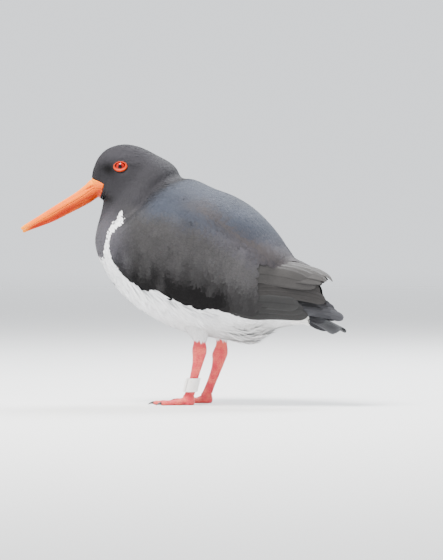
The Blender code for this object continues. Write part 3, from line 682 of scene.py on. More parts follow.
def darkColour(u, point, normal):  # slate mantle, its paler blue partly a painted sky reflection, browner hood and coverts, black low on the wing's front deepened by painted shade, and painted shade in creases and small gaps
    q, z = sideView(point)
    x = point[..., 0]
    above = z - scapularEdge(x)
    hood = plumageTones["hood"] * (1 + 1.6 * ease(194, 166, z))[:, None]
    covert = plumageTones["covert"] * (1 + 0.50 * ease(5, 42, x) * ease(100, 124, z))[:, None]
    fold = np.interp(z, foldLine[::-1, 1], foldLine[::-1, 0])
    colour = blend(hood, plumageTones["mantle"], ease(-6, 8, q - fold) * ease(150, 176, z))
    colour = blend(colour, covert, ease(-75, -50, x) * ease(2, 22, 3 * patches(point, 9, 1.0) - above))
    sash = bell(above, 7, 8) * ease(-30, 10, x)  # browner lower shoulder feathers
    colour = blend(colour, plumageTones["warm"], 0.75 * sash)
    # Painted shade along the lower edge of the shoulder feathers.
    colour = colour * (1 - 0.18 * bell(above, -1, 4.5) * ease(0, 25, x))[:, None]
    # Black feathers low on the wing's front, with a streaky edge, deepened by painted shade towards the
    # bottom.
    streaks = 7.0 * patches(np.stack([x, 0 * x, 0.35 * z], -1), 3.2, 0.4) + 4.0 * patches(point, 7, 2.2)
    fall = 0.22 * x + 0.28 * np.maximum(x + 20, 0)
    low = (1 - ease(93, 150, z + fall + streaks)) * ease(-83, -72, x) * (1 - 0.35 * ease(0, 60, x))
    low = low + 0.45 * blob(q, z, -10, 103, 24, 11)
    for streak in frontStreaks:
        low = low * (1 - 0.55 * blob(q, z, *streak))
    colour = blend(colour, plumageTones["deep"], 0.95 * np.clip(1.2 * low, 0, 1))
    for change, *mark in gapShadowsAndSpots:
        colour = colour * (1 + change * blob(q, z, *mark))[:, None]
    shade = (1 - 0.4 * hoodFold(point) ** 2) * headShade(u, point, normal)
    colour = colour * (shade * (1 + 0.09 * patches(point, 11, 3.1) * (u > 6)))[:, None]
    count = len(u)
    return colour * np.exp(0.032 * rng.normal(size=(count, 1))) * (1 + 0.006 * rng.normal(size=(count, 3)))


def layOf(u, point):  # which way wing coverts and shoulder feathers point, and how strongly
    x, z = point[:, 0], point[:, 2]
    wingSlope = np.interp(x, (-75, -50, 0, 60), (48, 34, 16, 8))
    backSlope = np.interp(x, (-50, 0, 60, 90), (18, 24, 32, 36))
    slope = np.radians(wingSlope + (backSlope - wingSlope) * onShoulder(x, z, 5.0))
    return np.stack([np.cos(slope), 0 * x, -np.sin(slope), ease(-78, -60, x) * (u > 8) * 0.95], 1)


def layZones(skin, feathers, zones):
    for name, (chosen, tuft, slotName, material, relief) in zones.items():
        picked = {key: values[chosen] for key, values in feathers.items()}
        place(layTufts(name, skin, tuft, **picked, **relief), slotName, material)


def buildDarkCoat():
    u, v, point = scatter(folded, 0.12, 17.6, darkSpacing, darkKeep)
    count = len(u)
    x, z = point[:, 0], point[:, 2]
    colour = darkColour(u, point, folded.at(u, v)[1])
    tip = grow(u, "tip") * rng.uniform(0.35, 0.85, count) + 0.35 * throat(u, v)
    shoulder = onShoulder(x, z) * ease(-70, -20, x)
    covert = (1 - shoulder) * ease(-20, 25, x)
    tip *= 1 - 0.3 * np.maximum(shoulder, covert)
    length = grow(u, "length") * (1 + 0.45 * shoulder + 0.25 * covert) * rng.uniform(0.88, 1.12, count)
    width = grow(u, "width") * (1 + 0.45 * shoulder + 0.45 * covert) * rng.uniform(0.9, 1.1, count)
    width = np.where(u < 5.6, 0.8, 1.0) * width  # finer on the head
    yaw = np.radians(7) * rng.normal(size=count)
    feathers = dict(u=u, v=v, length=length, width=width, root=grow(u, "root"), tip=tip, colour=colour,
                    yaw=yaw, aim=layOf(u, point))
    broad = (shoulder > 0.5) | (covert > 0.35)
    broadRelief = {"ridge": 0.015, "tipTone": 1.02, "rootTone": 0.95}
    zones = {
        "coat_face": (u < 3.3, softTuft, "hood_feathers", softBlack, {}),
        "coat_crown": ((u >= 3.3) & (u < 5.6), softTuft, "hood_feathers", softBlack, {}),
        "coat_neck": ((u >= 5.6) & (u < 8.2), roundTuft, "hood_feathers", softBlack, {}),
    }
    kinds = (("side", ~broad, roundTuft, {}), ("shoulder", broad, broadTuft, broadRelief))
    for kind, chosen, tuft, relief in kinds:
        for label, half in (("left", v < np.pi), ("right", v >= np.pi)):
            chosenHalf = (u >= 8.2) & half & chosen
            zones[f"coat_{kind}_{label}"] = (chosenHalf, tuft, "wing_feathers", sleekBlack, relief)
    layZones(folded, feathers, zones)


def whiteKeep(u, v, point):
    x, z = point[..., 0], point[..., 2]
    low = wingEdges(x)[0]
    # They go on a little way under the wing's lower edge.
    tucked = (z < low + np.where(x < 18, 9, 2)) & (z > low - 6) & (x > -74) & (x < 104)
    rump = (u > 15.6) & (x < 101)
    return (isWhite(halfway(trunk, u, v)) | tucked | rump).astype(float)


def whiteSpacing(u, point):
    return 0.82 * grow(u, "spacing")


def buildWhiteCoat():
    u, v, point = scatter(trunk, 6.5, 20.2, whiteSpacing, whiteKeep)
    x, _, z = point.T
    count = len(u)
    low = wingEdges(x)[0]
    vent = bell(x, 42, 17) * (1 - ease(66, 76, z))
    length = grow(u, "length") * rng.uniform(0.8, 1.2, count)
    length = length * (1 + 0.3 * vent) * (1 - 0.25 * ease(16, 20, u))
    width = 0.62 * grow(u, "width") * rng.uniform(0.85, 1.15, count)
    near = bell(z, low - 2, 6) * (x > -60) * (x < 95)
    flank = np.where(v < np.pi, 1, -1)
    yaw = np.radians(9) * (rng.normal(size=count) + near * flank * (1 + rng.normal(size=count)))
    loose = rng.random(count) > 0.74
    tip = grow(u, "tip") * rng.uniform(0.5, 1.8, count)
    tip = tip + vent * np.where(loose, rng.uniform(2.0, 6.0, count), 0.3)
    tip *= 1 - 0.7 * bell(x, 78, 24)
    wisp = near * (rng.random(count) > 0.45) * ease(22, 8, x) * (z < low + 2.0)  # over the wing's edge
    tip += wisp * rng.uniform(2.0, 3.4, count)
    yaw += np.radians(14) * wisp * flank
    length *= 1 + 0.7 * wisp + 0.4 * vent * loose
    white = plumageTones["white"] * np.exp(0.03 * rng.normal(size=(count, 1)))
    shade = ease(0.35, 1.0, -trunk.at(u, v)[1][:, 2]) * ease(-60, 10, x)  # greyer under belly and vent
    shade = np.maximum(0.95 * shade, bell(x, 52, 32) * ease(86, 74, z))
    feathers = dict(u=u, v=v, length=length, width=width, root=grow(u, "root") * (1 - 0.8 * wisp), tip=tip,
                    colour=blend(white, plumageTones["shadedWhite"], shade), yaw=yaw)
    chosen = {
        "coat_breast": u < 9.5,
        "coat_belly_left": (u >= 9.5) & (v < np.pi) & (x < 40),
        "coat_belly_right": (u >= 9.5) & (v >= np.pi) & (x < 40),
        "coat_vent": (u >= 9.5) & (x >= 40),
    }
    zones = {name: (part, softTuft, "body_feathers", softWhite, {}) for name, part in chosen.items()}
    layZones(trunk, feathers, zones)


buildDarkCoat()
buildWhiteCoat()


def skinFinish():
    look = Finish("feather_root_skin", Roughness=0.7)
    pits = look.cells(380.0)
    look.colour(look.shaded(look.plume(), 0.8 + pits * 0.4))
    look.bump(pits, 0.0004, 0.5)
    return look.material


# Each thigh leaves the belly and narrows to the bare shin: x, side, z, radius.
# The right one stands further back.
thighSections = (
    (2.4, 19.0, 78.0, 14.0), (3.2, 19.6, 73.0, 12.4), (4.4, 20.0, 68.5, 10.4), (5.4, 20.0, 64.5, 8.3),
    (6.2, 20.0, 61.6, 6.6),
)
thigh = {"back": {"left": 0.0, "right": 8.0}, "flatness": 0.92, "coat": 1.6, "feathers": 900, "reach": 3.3}
skinTones = {"white": (0.62, 0.58, 0.56), "thigh": (0.62, 0.52, 0.48)}


class ThighSkin(Skin):
    def __init__(self, label):
        self.rows = np.array(thighSections) * (1, sides[label], 1, 1) + (thigh["back"][label], 0, 0, 0)
        self.last = len(self.rows) - 1

    def ring(self, u, v):
        x, y, z, radius = np.moveaxis(smoothRows(self.rows, u), -1, 0)
        middle = np.stack([x, y, z], -1)
        out = np.stack([np.cos(v), thigh["flatness"] * np.sin(v), 0 * np.asarray(v, float)], -1)
        return middle + out * radius[..., None], middle


def buildSkin():
    rings, around = 230, 168
    u, v = ringGrid(0.05, trunk.last, rings, around)
    points = trunk.at(u, v, -grow(u, "root") - 0.25 - 1.3 * throat(u, v))[0].reshape(-1, 3)
    dark = 0.5 * darkColour(u.ravel(), points, trunk.at(u, v)[1].reshape(-1, 3))
    allPoints, allUvs = [points], [unwrap(u.ravel(), v.ravel())]
    allColours = [np.where(isWhite(points)[:, None], skinTones["white"], dark)]
    faces = loftFaces(rings, around)
    rings, around = 24, 40
    for k, label in enumerate(sides):
        skin = ThighSkin(label)
        u, v = ringGrid(0, skin.last, rings, around, 0.0)
        faces += loftFaces(rings, around, sum(len(p) for p in allPoints))
        allPoints.append(skin.at(u, v, -thigh["coat"])[0].reshape(-1, 3))
        allColours.append(np.tile(skinTones["thigh"], (rings * around, 1)))
        across, up = 0.55 + 0.04 * u.ravel() / skin.last + 0.06 * k, 0.5 + 0.05 * v.ravel() / 6.3
        allUvs.append(np.stack([across, up], -1))
    nodes = ("head", "neck", "torso", "thigh_left", "thigh_right")
    addPiece("skin", np.vstack(allPoints), faces, "body_feathers", skinFinish(), nodes,
             {"OFBake": np.vstack(allUvs)}, np.vstack(allColours))


def buildThighCoats():
    count = thigh["feathers"]
    for label in sides:
        a, b = evenPairs(count)
        # The thigh's white is dimmed by painted shade, as under the belly.
        white = np.array((0.80, 0.79, 0.79)) * np.exp(0.04 * rng.normal(size=(count, 1)))
        obj = layTufts(f"coat_thigh_{label}", ThighSkin(label), softTuft, a * thigh["reach"], b * 2 * np.pi,
                       length=rng.uniform(4.5, 7.0, count), width=rng.uniform(1.5, 2.2, count),
                       root=np.full(count, 1.4), tip=rng.uniform(0.1, 0.9, count), colour=white,
                       yaw=np.radians(8) * rng.normal(size=count), tipTone=1.04, rootTone=0.86)
        place(obj, "thigh_feathers", softWhite)


buildSkin()
buildThighCoats()
print("coat laid")


def shellTree(points):  # for casting rays at a closed shell
    return BVHTree.FromPolygons(points.reshape(-1, 3).tolist(), loftFaces(*points.shape[:2]))


class WingSkin:  # outside of the folded left wing, read by x and by the angle out from straight up
    axis = np.array([
        (-90.0, 152.0), (0.0, 128.0), (60.0, 112.0), (100.0, 101.0), (118.0, 96.0), (128.0, 91.0),
        (136.0, 86.5), (144.0, 82.0), (152.0, 80.5),
    ])

    def __init__(self):
        self.tree = shellTree(folded.ring(*ringGrid(8, 23, 90, 160))[0])

    def axisZ(self, x):
        return float(np.interp(x, self.axis[:, 0], self.axis[:, 1]))

    def reach(self, x, angle):
        start = Vector((x, 0, self.axisZ(x)))
        hit = self.tree.ray_cast(start, Vector((0, -math.sin(angle), math.cos(angle))))
        return (hit[0] - start).length if hit[0] else 4.0

    def angleAt(self, x, z):
        axis = self.axisZ(x)
        hit = self.tree.ray_cast(Vector((x, -200, z)), Vector((0, 1, 0)))
        least = math.asin(0.6 / max(self.reach(x, 0.03), 2.0))
        if hit[0] is None or hit[0].y > -0.6:
            return least if z > axis else math.pi - least
        return max(least, math.atan2(-hit[0].y, z - axis))

    def point(self, x, angle, lift):
        size = self.reach(x, angle) + lift
        closing = 1 - 0.45 * float(ease(98, 140, x))  # the wing tips meet over the tail
        return np.array([x, -size * math.sin(angle) * closing, self.axisZ(x) + size * math.cos(angle)])


wingSkin = WingSkin()

# Rows of wing feathers. First and last feather: root x and z, tip x and z, half width, and the tip's height
# over the wing. bow says how far a feather arches up. shade is painted light and shade from the first feather
# to the last: painted shadow on the upper primaries beside the gap over them, painted light on the lowest
# primaries and the top tertials.
wingRows = {
    "primaries": {
        "first": ((86, 82.6), (140.0, 81.0), 4.9, 0.4), "last": ((80, 95.0), (125.0, 94.0), 5.6, 0.8),
        "count": 5, "round": 0.88, "bow": 0.4, "shade": (2.1, 0.3), "colour": (0.035, 0.035, 0.0385),
    },
    "secondaries": {
        "first": ((46, 104.0), (124.6, 96.2), 5.6, 2.3), "last": ((46, 113.0), (118.8, 107.6), 7.0, 2.0),
        "count": 4, "round": 0.90, "bow": 1.2, "shade": (1.1, 0.9), "colour": (0.034, 0.032, 0.0315),
    },
    "low_secondaries": {
        "first": ((40, 89.0), (109.0, 84.6), 6.6, 1.5), "last": ((40, 100.0), (103.0, 94.0), 7.0, 1.9),
        "count": 3, "round": 0.86, "bow": 0.6, "shade": (1.0, 1.0), "colour": (0.032, 0.0315, 0.0315),
    },
    "tertials": {
        "first": ((48, 120.0), (117.5, 109.0), 9.4, 3.0), "last": ((66, 136.0), (128.6, 114.6), 5.6, 2.8),
        "count": 4, "round": 0.62, "bow": 2.2, "shade": (0.97, 1.6), "colour": (0.052, 0.0495, 0.0485),
    },
}
vaneRows, vaneColumns, vaneThick, shaftHalf = 26, 9, 0.34, 0.16
farWingBack = 8.0  # the far wing is folded this much shorter


def vaneWidth(t, roundTip):  # share of the full half width along a feather
    body = np.interp(t, (0.0, 0.25, 0.5, 0.75, 1.0), (0.6, 0.82, 0.95, 1.0, 0.96))
    end = np.clip((t - roundTip) / (1 - roundTip), 0, 1)
    return body * np.sqrt(np.maximum(1 - end ** 2.2, 0.0))


def vaneSteps():  # stations along a feather, closer towards its tip
    steps = 1 - (1 - np.linspace(0, 1, vaneRows)) ** 1.5
    steps[-1] = 0.997
    return steps


def thickness(a):  # a is -1 and 1 at a feather's edges
    return vaneThick * (1.15 - 0.75 * abs(a))


def vaneGrid(row, bow, root, tip, half, lift):  # top and under side of a long feather
    start, end = wingSkin.angleAt(*root), wingSkin.angleAt(*tip)
    steps = vaneSteps()
    xs = root[0] + (tip[0] - root[0]) * steps
    heights = 0.4 + (lift - 0.4) * np.minimum(1.0, 1.25 * steps) + 0.25 * steps ** 2
    angles = start + (end - start) * steps
    sizes = np.array([wingSkin.reach(x, angle) for x, angle in zip(xs, angles)])
    angles = angles - bow * np.sin(math.pi * steps) / sizes
    middle = np.array([wingSkin.point(*at) for at in zip(xs, angles, heights)])
    beside = np.array([wingSkin.point(*at) for at in zip(xs, angles + 0.04, heights)])
    axis = np.stack([xs, 0 * xs, [wingSkin.axisZ(x) for x in xs]], 1)
    run = unit(np.gradient(middle, axis=0))
    stiff = ease(0.45, 0.8, steps)[:, None]  # past its middle a feather is flat, off the body's curve
    plane = unit(beside - middle)
    plane = unit(plane * (1 - stiff) + plane[vaneRows // 2] * stiff)
    plane = unit(plane - run * dots(plane, run)[:, None])
    out = np.cross(plane, run)
    out *= np.sign(dots(out, middle - axis))[:, None]
    heading = unit(np.stack([np.full(vaneRows, tip[0] - root[0]), (end - start) * sizes], 1))
    sway = 0.15 * np.sin(2.2 * steps + rng.uniform(0, 6))
    top, low = np.empty((2, vaneRows, vaneColumns, 3))
    for j, a in enumerate(np.linspace(-1, 1, vaneColumns)):
        away = a * half * vaneWidth(steps, row["round"]) + sway
        drop = (0.55 if a < 0 else 0.25) * a * a - 0.10 * bell(a, 0, shaftHalf)
        flat = middle + plane * away[:, None] - out * drop
        across = xs - heading[:, 1] * away
        around = angles + heading[:, 0] * away / sizes
        bent = np.array([wingSkin.point(*at) for at in zip(across, around, heights - drop)])
        top[:, j] = bent + (flat - bent) * stiff
        low[:, j] = top[:, j] - out * thickness(a)
    return top, low, steps


def closeVane(first):  # faces of one closed feather
    columns, half = vaneColumns, vaneRows * vaneColumns
    faces = []
    for k in range(vaneRows - 1):
        for j in range(columns - 1):
            a = first + k * columns + j
            b = a + half
            faces += [(a, a + 1, a + 1 + columns, a + columns), (b, b + columns, b + 1 + columns, b + 1)]
        for a in (first + k * columns, first + (k + 1) * columns - 1):
            faces.append((a, a + columns, a + columns + half, a + half))
    for k in (0, vaneRows - 1):
        for a in range(first + k * columns, first + (k + 1) * columns - 1):
            faces.append((a, a + 1, a + 1 + half, a + half))
    return faces


def joinVanes(name, vanes, flip, slotName, node):
    points, faces, vaneUv, bakeUv, colours = [], [], [], [], []
    cells = np.array((8, math.ceil(len(vanes) / 8)))  # each feather has a cell of the unwrap
    for order, (top, low, steps, colour) in enumerate(vanes):
        faces += closeVane(order * 2 * vaneRows * vaneColumns)
        points += [top.reshape(-1, 3) * flip, low.reshape(-1, 3) * flip]
        across, along = np.meshgrid(np.linspace(0, 1, vaneColumns), steps)
        flat = np.stack([across.ravel(), along.ravel()], 1)
        vaneUv += [flat, flat]
        corner = np.array([order % 8, order // 8])
        bakeUv += [(corner + (0.04 + 0.5 * side, 0.04) + flat * (0.44, 0.92)) / cells for side in (0, 1)]
        edge = np.abs(2 * flat[:, :1] - 1)
        tone = 0.80 + 0.22 * flat[:, 1:] + 0.22 * edge ** 4 + 0.12 * ease(0.88, 1.0, flat[:, 1:])
        colours += [colour * tone, colour * 0.8 * tone]
    print(f"{name}: {len(vanes)} feathers, {2 * len(faces)} triangles")
    addPiece(name, np.vstack(points), faces, slotName, flightBlack, node,
             {"OFBake": np.vstack(bakeUv), "vane": np.vstack(vaneUv)}, np.vstack(colours))


def wingShell():  # curved plate under the feathers
    across = np.linspace(0, 1, 18)
    rings = []
    for x in np.linspace(-71, 110, 60):
        low, high = (float(edge) for edge in wingEdges(x))
        start, end = wingSkin.angleAt(x, high), wingSkin.angleAt(x, low + 0.6)
        proud = np.interp(x, (-72, -55, 36, 60, 92, 112), (-1.2, -0.9, -0.9, -0.2, -0.6, -0.9))
        depths = proud - 0.6 - 1.6 * (4 * across * (1 - across)) ** 0.5
        outer = [wingSkin.point(x, start + (end - start) * t, proud) for t in across]
        inner = [wingSkin.point(x, start + (end - start) * t, depth) for t, depth in zip(across, depths)]
        rings.append(np.vstack([outer, inner[::-1]]))
    return np.array(rings)


def featherOf(row, part):  # root, tip, half width and height of a feather part of the way up its row
    between = [np.asarray(a, float) + (np.asarray(b, float) - np.asarray(a, float)) * part
               for a, b in zip(row["first"], row["last"])]
    return between[0], between[1], float(between[2]), float(between[3])


def buildWings():
    shell = wingShell()
    faces = loftFaces(*shell.shape[:2])
    uv = [np.linspace(0.02, 0.98, size) for size in shell.shape[:2]]
    uv = np.stack(np.meshgrid(*uv, indexing="ij"), -1).reshape(-1, 2)
    dark = np.tile((0.016, 0.015, 0.016), (len(uv), 1))
    for label, side in sides.items():
        flip = np.array((1.0, -side, 1.0))
        addPiece(f"wing_base_{label}", shell.reshape(-1, 3) * flip, faces, "wing_feathers", sleekBlack,
                 (f"wing_{label}",), {"OFBake": uv, "vane": uv}, dark)
        vanes = []
        for row in wingRows.values():
            for k in range(row["count"]):
                part = k / (row["count"] - 1)
                root, tip, half, lift = featherOf(row, part)
                tip = tip + rng.normal(size=2) * (0.6, 0.3)
                if side > 0:
                    tip[0] -= farWingBack * ease(60, 122, tip[0])
                    lift -= 0.35
                shade = np.array(row["colour"]) * np.interp(part, (0, 1), row["shade"])
                shade = shade * math.exp(0.05 * rng.normal())
                bow = row["bow"] * (1 - 0.8 * part ** 3)
                vanes.append((*vaneGrid(row, bow, root, tip, half, lift), shade))
        joinVanes(f"flight_feathers_{label}", vanes, flip, "wing_feathers", ())


buildWings()

# Tail feathers, from the middle pair outwards: side of root, side of tip, tip x.
tailPairs = [(0.9, 2.2, 138.6), (2.2, 5.6, 138.9), (3.6, 8.9, 138.7), (5.0, 12.0, 138.2), (6.4, 14.8, 137.3),
             (7.8, 17.2, 135.8)]
tailTop = np.array([(92.0, 88.5), (98.0, 87.0), (112.0, 83.2), (126.0, 78.2), (140.0, 71.6)])
tail = {
    "root": 94.0, "half": 5.3, "round": 0.86, "camber": 5.4, "span": 22.0, "layer": 0.46,
    "colour": (0.048, 0.049, 0.053),
    "blackFrom": 103.0, "black": (0.030, 0.030, 0.033), "white": (0.74, 0.73, 0.71),
}


def tailVane(side, order, rootY, tipY, tipX):
    steps = vaneSteps()
    top, low = np.empty((2, vaneRows, vaneColumns, 3))
    wide = tail["half"] * vaneWidth(steps, tail["round"]) * (0.5 + 0.5 * steps)
    x = tail["root"] + (tipX - tail["root"]) * steps
    for j, a in enumerate(np.linspace(-1, 1, vaneColumns)):
        y = rootY + (tipY - rootY) * steps + a * wide
        z = np.interp(x, tailTop[:, 0], tailTop[:, 1]) - tail["camber"] * (y / tail["span"]) ** 2
        z += 0.10 * bell(a, 0, shaftHalf) - 0.22 * a * a - tail["layer"] * (order + 0.2 * (side > 0))
        top[:, j] = np.stack([x, side * y, z], 1)
        low[:, j] = top[:, j] - (0, 0, thickness(a))
    # Painted shadow: the middle pairs, under the wing tips, are darker than the outer ones.
    shade = np.array(tail["colour"]) * (0.35 + 0.13 * order) * math.exp(0.06 * rng.normal())
    return top, low, steps, shade


def buildTail():
    vanes = [tailVane(side, order, *pair) for side in sides.values() for order, pair in enumerate(tailPairs)]
    joinVanes("tail_feathers", vanes, np.ones(3), "tail_feathers", ("tail",))
    evenly = (lambda u, point: 1.6 + 0 * u, lambda u, v, point: 1.0 + 0 * u)
    u, v, point = scatter(trunk, 18.0, trunk.last - 1.0, *evenly)
    count = len(u)
    ragged = point[:, 0] + 0.5 * rng.normal(size=count)
    colour = np.where((ragged < tail["blackFrom"])[:, None], tail["white"], tail["black"])
    colour = colour * np.exp(0.04 * rng.normal(size=(count, 1)))
    obj = layTufts("coat_tail_root", trunk, roundTuft, u, v, length=rng.uniform(8, 11, count),
                   width=rng.uniform(3.6, 5.0, count), root=np.full(count, 1.6), tip=np.full(count, 0.6),
                   colour=colour, yaw=np.radians(6) * rng.normal(size=count))
    place(obj, "tail_feathers", softWhite)


buildTail()
print("wings and tail done")

# Bill sections: top x, top z, mouth x, mouth z, bottom x, bottom z, half width.
billSections = [
    (-97.5, 207.0, -91.5, 199.5, -90.0, 193.5, 10.0),
    (-104.2, 208.6, -100.6, 200.4, -97.3, 192.3, 7.4),
    (-110.0, 203.6, -107.3, 196.2, -104.5, 187.6, 6.4),
    (-119.0, 196.6, -116.0, 190.6, -113.0, 183.0, 5.2),
    (-131.5, 188.8, -128.7, 183.6, -126.0, 176.5, 4.3),
    (-144.0, 181.0, -141.5, 176.2, -139.0, 170.0, 3.7),
    (-156.0, 173.4, -153.6, 169.3, -151.4, 165.2, 3.0),
    (-165.5, 167.6, -163.3, 164.4, -161.5, 161.6, 2.2),
    (-170.3, 164.2, -168.9, 161.5, -167.4, 159.2, 1.4),
]
bill = {
    "orange": (0.80, 0.135, 0.0), "red": (0.31, 0.004, 0.0), "amber": (0.86, 0.29, 0.0), "droop": 0.568,
    "gap": 0.14, "squareness": 2.25, "ends": ((0.8, 0.5), (0.4, 0.9)),
}
nostril = {"x": -104.2, "z": 201.6, "half": 4.6, "slope": 0.52, "thick": 0.75, "deep": 1.5}


def billFinish():
    look = Finish("bill_horn", Specular_IOR_Level=0.1)
    alongBill = {"Vector": look.where(), "Scale": (0.04, 0.0032, 0.0032), "Rotation": (0.0, -0.517, headTurn)}
    stretch = look.node("ShaderNodeMapping", {"vector_type": "TEXTURE"}, alongBill)["Vector"]
    fibres = look.noise(1.0, 2.0, stretch)
    blotch = look.noise(70.0)
    pale = look.mix(fibres.between(0.42, 0.7) * 0.25, look.plume(), (0.90, 0.27, 0.0))
    look.colour(look.mix(blotch.between(0.5, 0.8) * 0.2, pale, (0.55, 0.02, 0.0)))
    look.rough(0.3 + fibres * 0.14)
    look.bump(fibres + blotch * 0.3, 0.0002, 0.22)
    return look.material


def nostrilDepth(x, y, z):  # of the slit, and of a groove that runs on from it
    s = nostril["x"] - x
    t = z - nostril["z"] + nostril["slope"] * s
    slit = max(0.0, 1 - (s / nostril["half"]) ** 2)
    pit = nostril["deep"] * math.exp(-((t / nostril["thick"]) ** 4)) * slit ** 0.5
    groove = 0.35 * bell(t + 0.05 * s, 0, 1.3) * ease(-8, 2, s) * (1 - ease(24, 46, s))
    return (pit + groove) * min(1.0, abs(y) / 3.0)


def billRing(at, part, around, headTree):
    topX, topZ, mouthX, mouthZ, lowX, lowZ, half = smoothRows(billSections, at)
    mouth = np.array([mouthX, mouthZ])
    away = np.array([topX, topZ] if part == "upper" else [lowX, lowZ]) - mouth
    height = np.hypot(*away)
    away /= height
    turn = np.linspace(-np.pi / 2, np.pi / 2, around)
    power = 2 / bill["squareness"]
    across = half * np.sign(np.sin(turn)) * np.abs(np.sin(turn)) ** power
    rise = bill["gap"] + np.abs(np.cos(turn)) ** power * (height - bill["gap"])
    origin = Vector((mouth[0], 0, mouth[1]))
    ring = []
    for y, lift in zip(across, rise):
        x, z = mouth + away * lift
        if part == "upper" and abs(y) > 0.1:
            y -= math.copysign(nostrilDepth(x, y, z), y)
        target = Vector((x, y, z))
        ray = target - origin
        size = ray.length
        if at < 1.6 and size > 0.3:  # spreads out to the face as far as the horn goes
            hit = headTree.ray_cast(origin, ray / size)[0]
            if hit is not None and (hit - origin).length > size:
                lobe = 1 - float(ease(-1.1, 0.3, hit.x - billFront(hit.z)))
                target = origin + ray.normalized() * (size + ((hit - origin).length + 0.45 - size) * lobe)
        ring.append(tuple(target))
    return np.array(ring)


def billColour(points):
    x, _, z = points.T
    share = np.clip((-x - 90) / 80, 0, 1)
    axis = 200.4 - (-x - 100.6) * bill["droop"]
    high = np.clip((z - axis) / np.interp(share, (0, 1), (9, 3)), -1, 1)
    # Darker red towards the bottom, a painted highlight in amber along the top near the base, and an amber
    # tip.
    colour = blend(np.array(bill["orange"]), bill["red"], ease(0.2, -0.8, high) * 0.9)
    colour = blend(colour, bill["amber"], ease(0.2, 1.0, high) * (1 - ease(0.0, 0.45, share)) * 0.75)
    return blend(colour, bill["amber"], ease(0.86, 1.0, share) * 0.8)


def buildBill():
    u, v = ringGrid(0.0, 6.0, 60, 120)
    headTree = shellTree(turned(trunk.at(u, v, -0.25)[0], -headTurn))
    material = billFinish()
    steps = np.concatenate([np.linspace(-1.45, 2.6, 84), np.linspace(2.72, 8.0, 46)])
    around = 49
    for part in ("upper", "lower"):
        rings = [billRing(at, part, around, headTree) for at in steps]
        last = rings[-1]
        middle = last.mean(0)
        forwards = np.array((-0.8, 0, -0.5))
        rings += [middle + (last - middle) * scale + forwards * push for scale, push in bill["ends"]]
        points = np.vstack(rings)
        faces, colour = loftFaces(len(rings), around), billColour(points)
        addPiece(f"bill_{part}_horn", turned(points, headTurn), faces, "bill_horn", material,
                 (f"bill_{part}",), None, colour)


buildBill()
print("bill done")


def eyeFinish():
    look = Finish("eye_glass", Roughness=0.06, Specular_IOR_Level=0.14, Coat_Weight=0.05, Coat_Roughness=0.02)
    rays = look.noise(900.0, 3.0)
    look.colour(look.mix(rays.between(0.35, 0.8) * 0.6, look.plume(), (0.45, 0.30, 0.30), "MULTIPLY"))
    return look.material


def rimFinish():
    look = Finish("eye_rim_skin", Roughness=0.45, Specular_IOR_Level=0.12)
    beads = look.cells(1500.0)
    look.colour(look.mix(beads * 0.3, look.plume(), (0.50, 0.06, 0.0)))
    look.bump(beads, 0.00012, 0.4)
    return look.material


eyeTones = {
    "pupil": (0.004, 0.003, 0.003), "iris": (0.34, 0.006, 0.003), "dark": (0.05, 0.002, 0.001),
    "rim": (0.38, 0.019, 0.0), "lid": (0.20, 0.004, 0.0),
}


def column(values):
    return values[..., None]


def eyeFrame(side, tree):  # the eye's own axes: out of the face, ahead along it, and up
    centre = turned((eye["x"], side * eye["y"], eye["z"]), headTurn)
    outward = unit(turned((turnAxisX - 0.10, side, 0.0), headTurn) - np.array((turnAxisX, 0, -0.10)))
    hit, normal, _, _ = tree.ray_cast(Vector(centre + outward * 60), Vector(-outward))
    normal = np.array(normal) * (1 if np.dot(normal, outward) > 0 else -1)
    ahead = unit(np.array((-1.0, 0, 0)) - normal * np.dot((-1.0, 0, 0), normal))
    upward = np.cross(normal, ahead) * (1 if np.cross(normal, ahead)[2] > 0 else -1)
    return centre, np.array(hit), normal, ahead, upward


def buildBall(label, centre, normal, ahead, upward, material):
    rings, around = 90, 96
    polar = 0.006 + (math.pi - 0.012) * np.linspace(0, 1, rings) ** 1.5
    p, s = np.meshgrid(polar, spin(around), indexing="ij")
    gaze = unit(normal - 0.26 * upward - 0.08 * ahead)  # level, where the face slopes
    gazeAhead = unit(ahead - gaze * np.dot(ahead, gaze))
    gazeUp = unit(upward - gaze * np.dot(upward, gaze) - gazeAhead * np.dot(upward, gazeAhead))
    bulge = eye["ball"] + 0.35 * bell(p, 0, 0.42)
    away = column(np.cos(p)) * gaze + column(np.sin(p) * np.cos(s)) * gazeAhead
    away = away + column(np.sin(p) * np.sin(s)) * gazeUp
    off = eye["ball"] * np.sin(p)  # distance from the pupil's middle
    colour = np.array(eyeTones["iris"]) * column(1.0 + 0.2 * np.sin(s * 23) * np.sin(s * 9 + 1))
    colour = blend(colour, eyeTones["dark"], ease(3.9, 4.6, off))
    colour = blend(colour, eyeTones["dark"], bell(off, 1.9, 0.3) * 0.5)
    colour = np.where(column((off < eye["pupil"]) & (p < 1.5)), eyeTones["pupil"], colour)
    addPiece(f"eyeball_{label}", centre + column(bulge) * away, loftFaces(rings, around), "eye", material,
             (f"eye_{label}",), None, colour)


